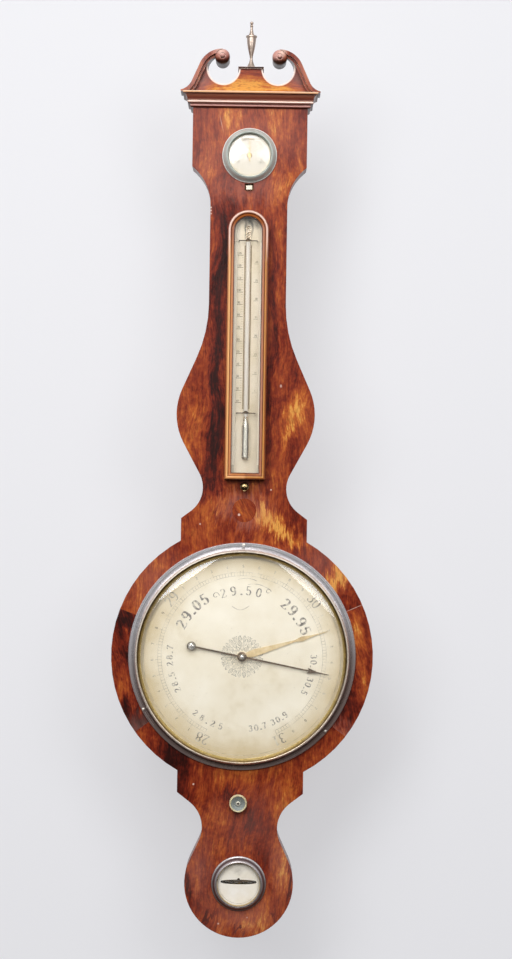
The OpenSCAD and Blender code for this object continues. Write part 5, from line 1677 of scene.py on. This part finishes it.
@dataclass
class Movement(Assembly):
    """Tube, float, wheel and the train of the set hand, with its knob.

    Args:
        knob_edge: Eased edge of the knob.
    """

    knob_edge: float = 0.25

    def build(self) -> None:
        """Dresses what works behind the dial."""
        self.dress(BRASS, "centre_bush", "back_cock", "knob_bush", "hand_arbor", "float_wheel", "counterweight")
        self.dress(BRASS, "set_cannon")
        self.dress(BONE, "knob_spindle")
        self.dress(TUBE_GLASS, "siphon_tube", "glass_float")
        self.dress(MERCURY, "mercury_bend")
        # the mercury columns and both threads are replaced by still copies in their packed places
        self.stretch(MERCURY, "mercury_short", Body.FLOAT)
        self.stretch(MERCURY, "mercury_long", Body.COUNTERWEIGHT)
        self.stretch(SILK, "float_thread", Body.FLOAT, hangs=True)
        self.stretch(SILK, "counter_thread", Body.COUNTERWEIGHT, hangs=True)
        self.dress(CORK, "tube_corks")
        self.dress(GUT, "set_cord")
        self.ease(BONE, self.knob_edge, "set_knob")


@dataclass
class Hygrometer(Assembly):
    """Small dial at the top, worked by an oat beard.

    Args:
        face_d: Distance of the plate's face from the wall.
        scale_r: Inner and outer radius of its divisions.
        sweep: Half of its sweep, in degrees.
        figure_r: Radius of its figures.
        line_w: Width of its lines.
        stains: Radius, width and clock angles of the painted shade along its plate's top and of a brown spot at its
            middle.
        glass: Rise of the glass and its thickness.
        bezel_edge: Eased edge of the bezel.
        adjuster_edge: Eased edge of the adjuster.
    """

    face_d: float = 39.5
    scale_r: Point = (18.6, 21.4)
    sweep: int = 120
    figure_r: float = 15.6
    line_w: float = 0.28
    stains: Rows = ((20.2, 2.6, -30.0, 16.0), (1.6, 3.0))
    glass: Point = (3.0, 1.4)
    bezel_edge: float = 0.25
    adjuster_edge: float = 0.3

    def build(self) -> None:
        """Dresses the dial and cuts its divisions."""
        middle = (0.0, HYGRO_UP)
        self.ease(HYGRO_BRASS, self.bezel_edge, "hygro_bezel")
        self.dome("hygro_glass", SMALL_GLASS, middle, *self.glass)
        self.dress(HYGRO_SILVER, "hygro_plate")
        self.ease(ADJUSTER_BRASS, self.adjuster_edge, "hygro_adjuster")
        self.dress(OAT, "oat_beard")
        self.dress(POINTER_STEEL, "hygro_pointer")
        cutter = Engraver(self.face_d, middle)
        low, high = self.scale_r
        for angle in range(-self.sweep, self.sweep + 1, 6):
            cutter.tick(angle, low, high if angle % 30 == 0 else high - 1.3, self.line_w)
        cutter.ring(low, self.line_w, -self.sweep, self.sweep)
        for value in range(0, 101, 25):
            angle = self.sweep * (value / 50 - 1)
            cutter.number(str(value), clock(angle, self.figure_r), 3.0, angle, 0.08, 0.18)
        cutter.finish("hygrometer_divisions", FADED_WAX)
        # painted shade along the plate's top and a brown spot at its middle
        stain = Engraver(self.face_d, middle)
        for row in self.stains:
            stain.ring(*row)
        stain.finish("hygrometer_shade_and_spot", SHADE_AND_SPOT_WAX)


@dataclass
class Thermometer(Assembly):
    """Silvered scale with its tube under a glazed box.

    Args:
        face_d: Distance of the scale's face from the wall.
        low_up: Height of the lowest division.
        step: Distance between divisions of ten degrees.
        count: How many of these there are.
        figure_h: Height of a figure.
        inner_x: Inner end of the left divisions.
        single_x: Outer end of those of two degrees.
        ten_x: Outer end of those of ten degrees.
        right_x: Both ends of the right divisions.
        label_x: Distance of the figures from the middle line.
        box_edge: Eased edge of the box.
    """

    face_d: float = 39.2
    low_up: float = 310.0
    step: float = 15.0
    count: int = 13
    figure_h: float = 2.4
    inner_x: float = -5.6
    single_x: float = -7.6
    ten_x: float = -13.0
    right_x: Point = (7.4, 13.0)
    label_x: float = 10.6
    box_edge: float = 0.3

    def label(self, cutter: Engraver, value: int, x: float, up: float) -> None:
        """Cuts a number that stands on a division."""
        cutter.number(str(value), (x, up + self.figure_h), self.figure_h, 0.0, 0.12, 0.24)

    def upright(self, name: str, wax: Finish, lines: Rows, low: float, high: float) -> None:
        """Cuts upright lines beside the stem as one piece.

        Args:
            name: The piece's name.
            wax: Its finish.
            lines: Place and width of each line.
            low: Its lower end, from the lowest division.
            high: Its upper end, from the lowest division.
        """
        cutter = Engraver(self.face_d)
        for x, width in lines:
            cutter.line([(x, self.low_up + end) for end in (low, 60, high)], width)
        cutter.finish(name, wax)

    def build(self) -> None:
        """Dresses the box, tube and scale and cuts the divisions."""
        self.dress(SCALE_SILVER, "thermo_scale")
        self.dress(STEM_GLASS, "thermo_tube")
        self.dress(MERCURY, "thermo_mercury")
        self.dress(STAPLE_WIRE, "tube_staples")
        self.ease(BOX_WOOD, self.box_edge, "box_frame")
        self.dress(PANE_GLASS, "box_pane")
        self.dress(KNOB_BRASS, "box_knob")
        cutter = Engraver(self.face_d)
        for i in range(self.count):
            up = self.low_up + i * self.step
            cutter.line([(self.ten_x, up), (self.inner_x, up)], 0.75)
            self.label(cutter, 10 * (i + 1), -self.label_x, up)
            if i < self.count - 1:
                for between in (up + part * self.step / 5 for part in range(1, 5)):
                    cutter.line([(self.single_x, between), (self.inner_x, between)], 0.3)
        for i in range(8):
            up = self.low_up + 12 + i * 1.5 * self.step
            cutter.line([(x, up) for x in self.right_x], 0.5)
            self.label(cutter, 5 * (i + 1), self.label_x, up)
        cutter.finish("thermometer_divisions", SCALE_WAX)
        # painted shadow of the stem, either side of it on the scale
        self.upright("thermometer_stem_shadow", SHADE_AND_SPOT_WAX, ((-3.7, 1.4), (3.7, 1.4)), -8, 192)
        # painted highlight along both edges of the scale
        self.upright("thermometer_edge_highlight", EDGE_HIGHLIGHT_WAX, ((-15.0, 3.2), (15.7, 1.4)), -76, 196)


@dataclass
class Level(Assembly):
    """Spirit level in the foot.

    Args:
        face_d: Distance of the plate's face from the wall.
        border_r: Radius of the line round its plate.
        bezel_edge: Eased edge of the bezel.
    """

    face_d: float = 39.5
    border_r: float = 24.2
    bezel_edge: float = 0.25

    def build(self) -> None:
        """Dresses the level and cuts its border."""
        self.ease(LEVEL_BRASS, self.bezel_edge, "level_bezel")
        self.dress(LEVEL_SILVER, "level_plate")
        self.dress(TUBE_GLASS, "level_vial")
        self.dress(SPIRIT, "level_spirit")
        self.dress(BRASS, "vial_saddle")
        cutter = Engraver(self.face_d, (0.0, FOOT_UP))
        cutter.ring(self.border_r, 0.25)
        cutter.finish("level_border", FADED_WAX)


@dataclass
class Studio:
    """Pale wall and floor, soft lamps and the camera in front of the dial.

    Args:
        mm_per_pixel: Size of an image pixel at the front of the case.
        lean: Lean of the case in the image, clockwise in degrees.
        aim: Place on the bench at the middle of the image.
        away: Distance of the camera from the front of the case, in metres.
        sensor: Height of the camera's sensor.
        front_d: Distance of the front of the case from the wall.
        wall_gap: Gap between the case and the backdrop, in metres.
        floor_drop: Height of the case's middle above the floor, in metres.
        ambient: Level of the room's light.
        view: Colour that the lens sees where the room is open.
        room: Colours of the room from straight down to straight up.
    """

    mm_per_pixel: float = 1.22
    lean: float = 0.88
    aim: Point = (13.8, 216.4)
    away: float = 2.4
    sensor: float = 36.0
    front_d: float = 42.0
    wall_gap: float = 0.12
    floor_drop: float = 1.1
    ambient: float = 0.5
    view: str = "#ebebed"
    room: tuple[tuple[float, str], ...] = (
        (0.0, "#3a332d"), (0.36, "#4a423b"), (0.5, "#72706f"),
        (0.58, "#a9a9ac"), (0.72, "#e4e6ea"), (1.0, "#fbfcff"),
    )

    def plane(self, name: str, paint: Finish, middle: Vector, across: Vector, along: Vector) -> bpy.types.Object:
        """Makes a large flat piece of the stage.

        Args:
            name: Its name.
            paint: Its finish.
            middle: Its middle.
            across: Half of one side.
            along: Half of the other side.

        Returns:
            The plane.
        """
        signs = ((-1, -1), (1, -1), (1, 1), (-1, 1))
        corners = [middle + a * across + b * along for a, b in signs]
        made = piece_of(name, mesh_of(name, corners, [(0, 1, 2, 3)]), paint)
        made.visible_diffuse = False
        made.visible_shadow = False
        return made

    def lamp(self, name: str, place: Vector, aim: Vector, size: Point, power: float, roll: float = 0.0) -> None:
        """Hangs a soft rectangular lamp.

        Args:
            name: Its name.
            place: Where it hangs.
            aim: What it points at.
            size: Its width and height, in metres.
            power: Its power, in watts.
            roll: Its turn about its own axis, in degrees.
        """
        light = bpy.data.lights.new(name, "AREA")
        light.shape = "RECTANGLE"
        light.size, light.size_y = size
        light.energy = power
        made = bpy.data.objects.new(name, light)
        made.location = place
        aimed = (aim - place).to_track_quat("-Z", "Y").to_matrix().to_4x4()
        made.rotation_euler = (aimed @ Matrix.Rotation(math.radians(roll), 4, "Z")).to_euler()
        bpy.context.scene.collection.objects.link(made)

    def surround(self) -> None:
        """Sets the pale room: a plain level of light, and a pale view for camera, gloss and glass."""
        world = bpy.data.worlds.new("studio")
        bpy.context.scene.world = world
        world.use_nodes = True
        tree = world.node_tree
        tree.nodes.clear()
        # lamps and pale ceiling above, less from the sides and little from under the bench
        way = add(tree, "SeparateXYZ", (add(tree, "TexCoord", out="Generated"),), out="Z")
        glow = add(tree, "ValToRGB", (add(tree, "MapRange", (way, -1.0, 1.0)),), self.room)
        fill, shine, view = (
            add(tree, "Background", {"Color": colour, "Strength": level})
            for colour, level in ((glow, self.ambient), (glow, 1.0), (self.view, 1.0))
        )
        gloss, lens, glass = (
            add(tree, "LightPath", out=ray) for ray in ("Is Glossy Ray", "Is Camera Ray", "Is Transmission Ray")
        )
        mixed = add(tree, "MixShader", (gloss, fill, shine))
        seen = add(tree, "Math", (lens, glass), operation="MAXIMUM")
        add(tree, "OutputWorld", {"Surface": add(tree, "MixShader", (seen, mixed, view))})

    def camera(self) -> None:
        """Puts the camera where the picture was taken from."""
        data = bpy.data.cameras.new("camera")
        data.sensor_fit = "AUTO"
        data.sensor_width = self.sensor
        data.lens = self.sensor * self.away / (IMAGE_H * self.mm_per_pixel * MM)
        made = bpy.data.objects.new("camera", data)
        place = bench(*self.aim, self.front_d) + Vector((0.0, -self.away, 0.0))
        turn = Matrix.Rotation(math.radians(90), 4, "X") @ Matrix.Rotation(math.radians(self.lean), 4, "Z")
        made.matrix_world = Matrix.Translation(place) @ turn
        bpy.context.scene.collection.objects.link(made)
        bpy.context.scene.camera = made

    def build(self) -> None:
        """Sets up stage, lamps and camera."""
        bpy.context.scene.view_settings.view_transform = "Standard"
        middle = bench(0.0, 216.0, 0.0)
        right, back, up = Vector((1.0, 0.0, 0.0)), Vector((0.0, 1.0, 0.0)), Vector((0.0, 0.0, 1.0))
        self.plane("wall", WALL_PAINT, middle + self.wall_gap * back, 3.0 * right, 2.0 * up)
        floor = self.plane("floor", FLOOR_PAINT, (middle.z - self.floor_drop) * up, 4.0 * right, 4.0 * back)
        floor.visible_glossy = False
        dial = bench(0.0, 0.0, self.front_d)
        # two softboxes above the lens, turned so that the dial's glass catches each along its upper rim
        self.lamp("key", dial + Vector((-0.902, -2.084, 1.063)), dial, (0.85, 1.5), 28.4, 131.0)
        self.lamp("fill", dial + Vector((1.031, -2.09, 0.951)), dial, (0.9, 1.3), 17.0, 42.2)
        self.lamp("top", middle + Vector((-0.2, -1.6, 1.6)), middle, (1.4, 0.7), 22.0)
        self.lamp("back", middle + Vector((0.6, 2.4, 1.2)), middle, (2.0, 1.6), 28.0)
        self.surround()
        self.camera()


def main() -> None:
    """Builds the barometer's looks in order."""
    logging.basicConfig(level=logging.INFO, format="%(name)s: %(message)s")
    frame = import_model()
    for group in (Case, Pediment, MainDial, Movement, Hygrometer, Thermometer, Level):
        group(frame).build()
        LOG.info("built %s", group.__name__)
    Studio().build()
    bpy.context.view_layer.update()


if __name__ == "__main__":
    main()
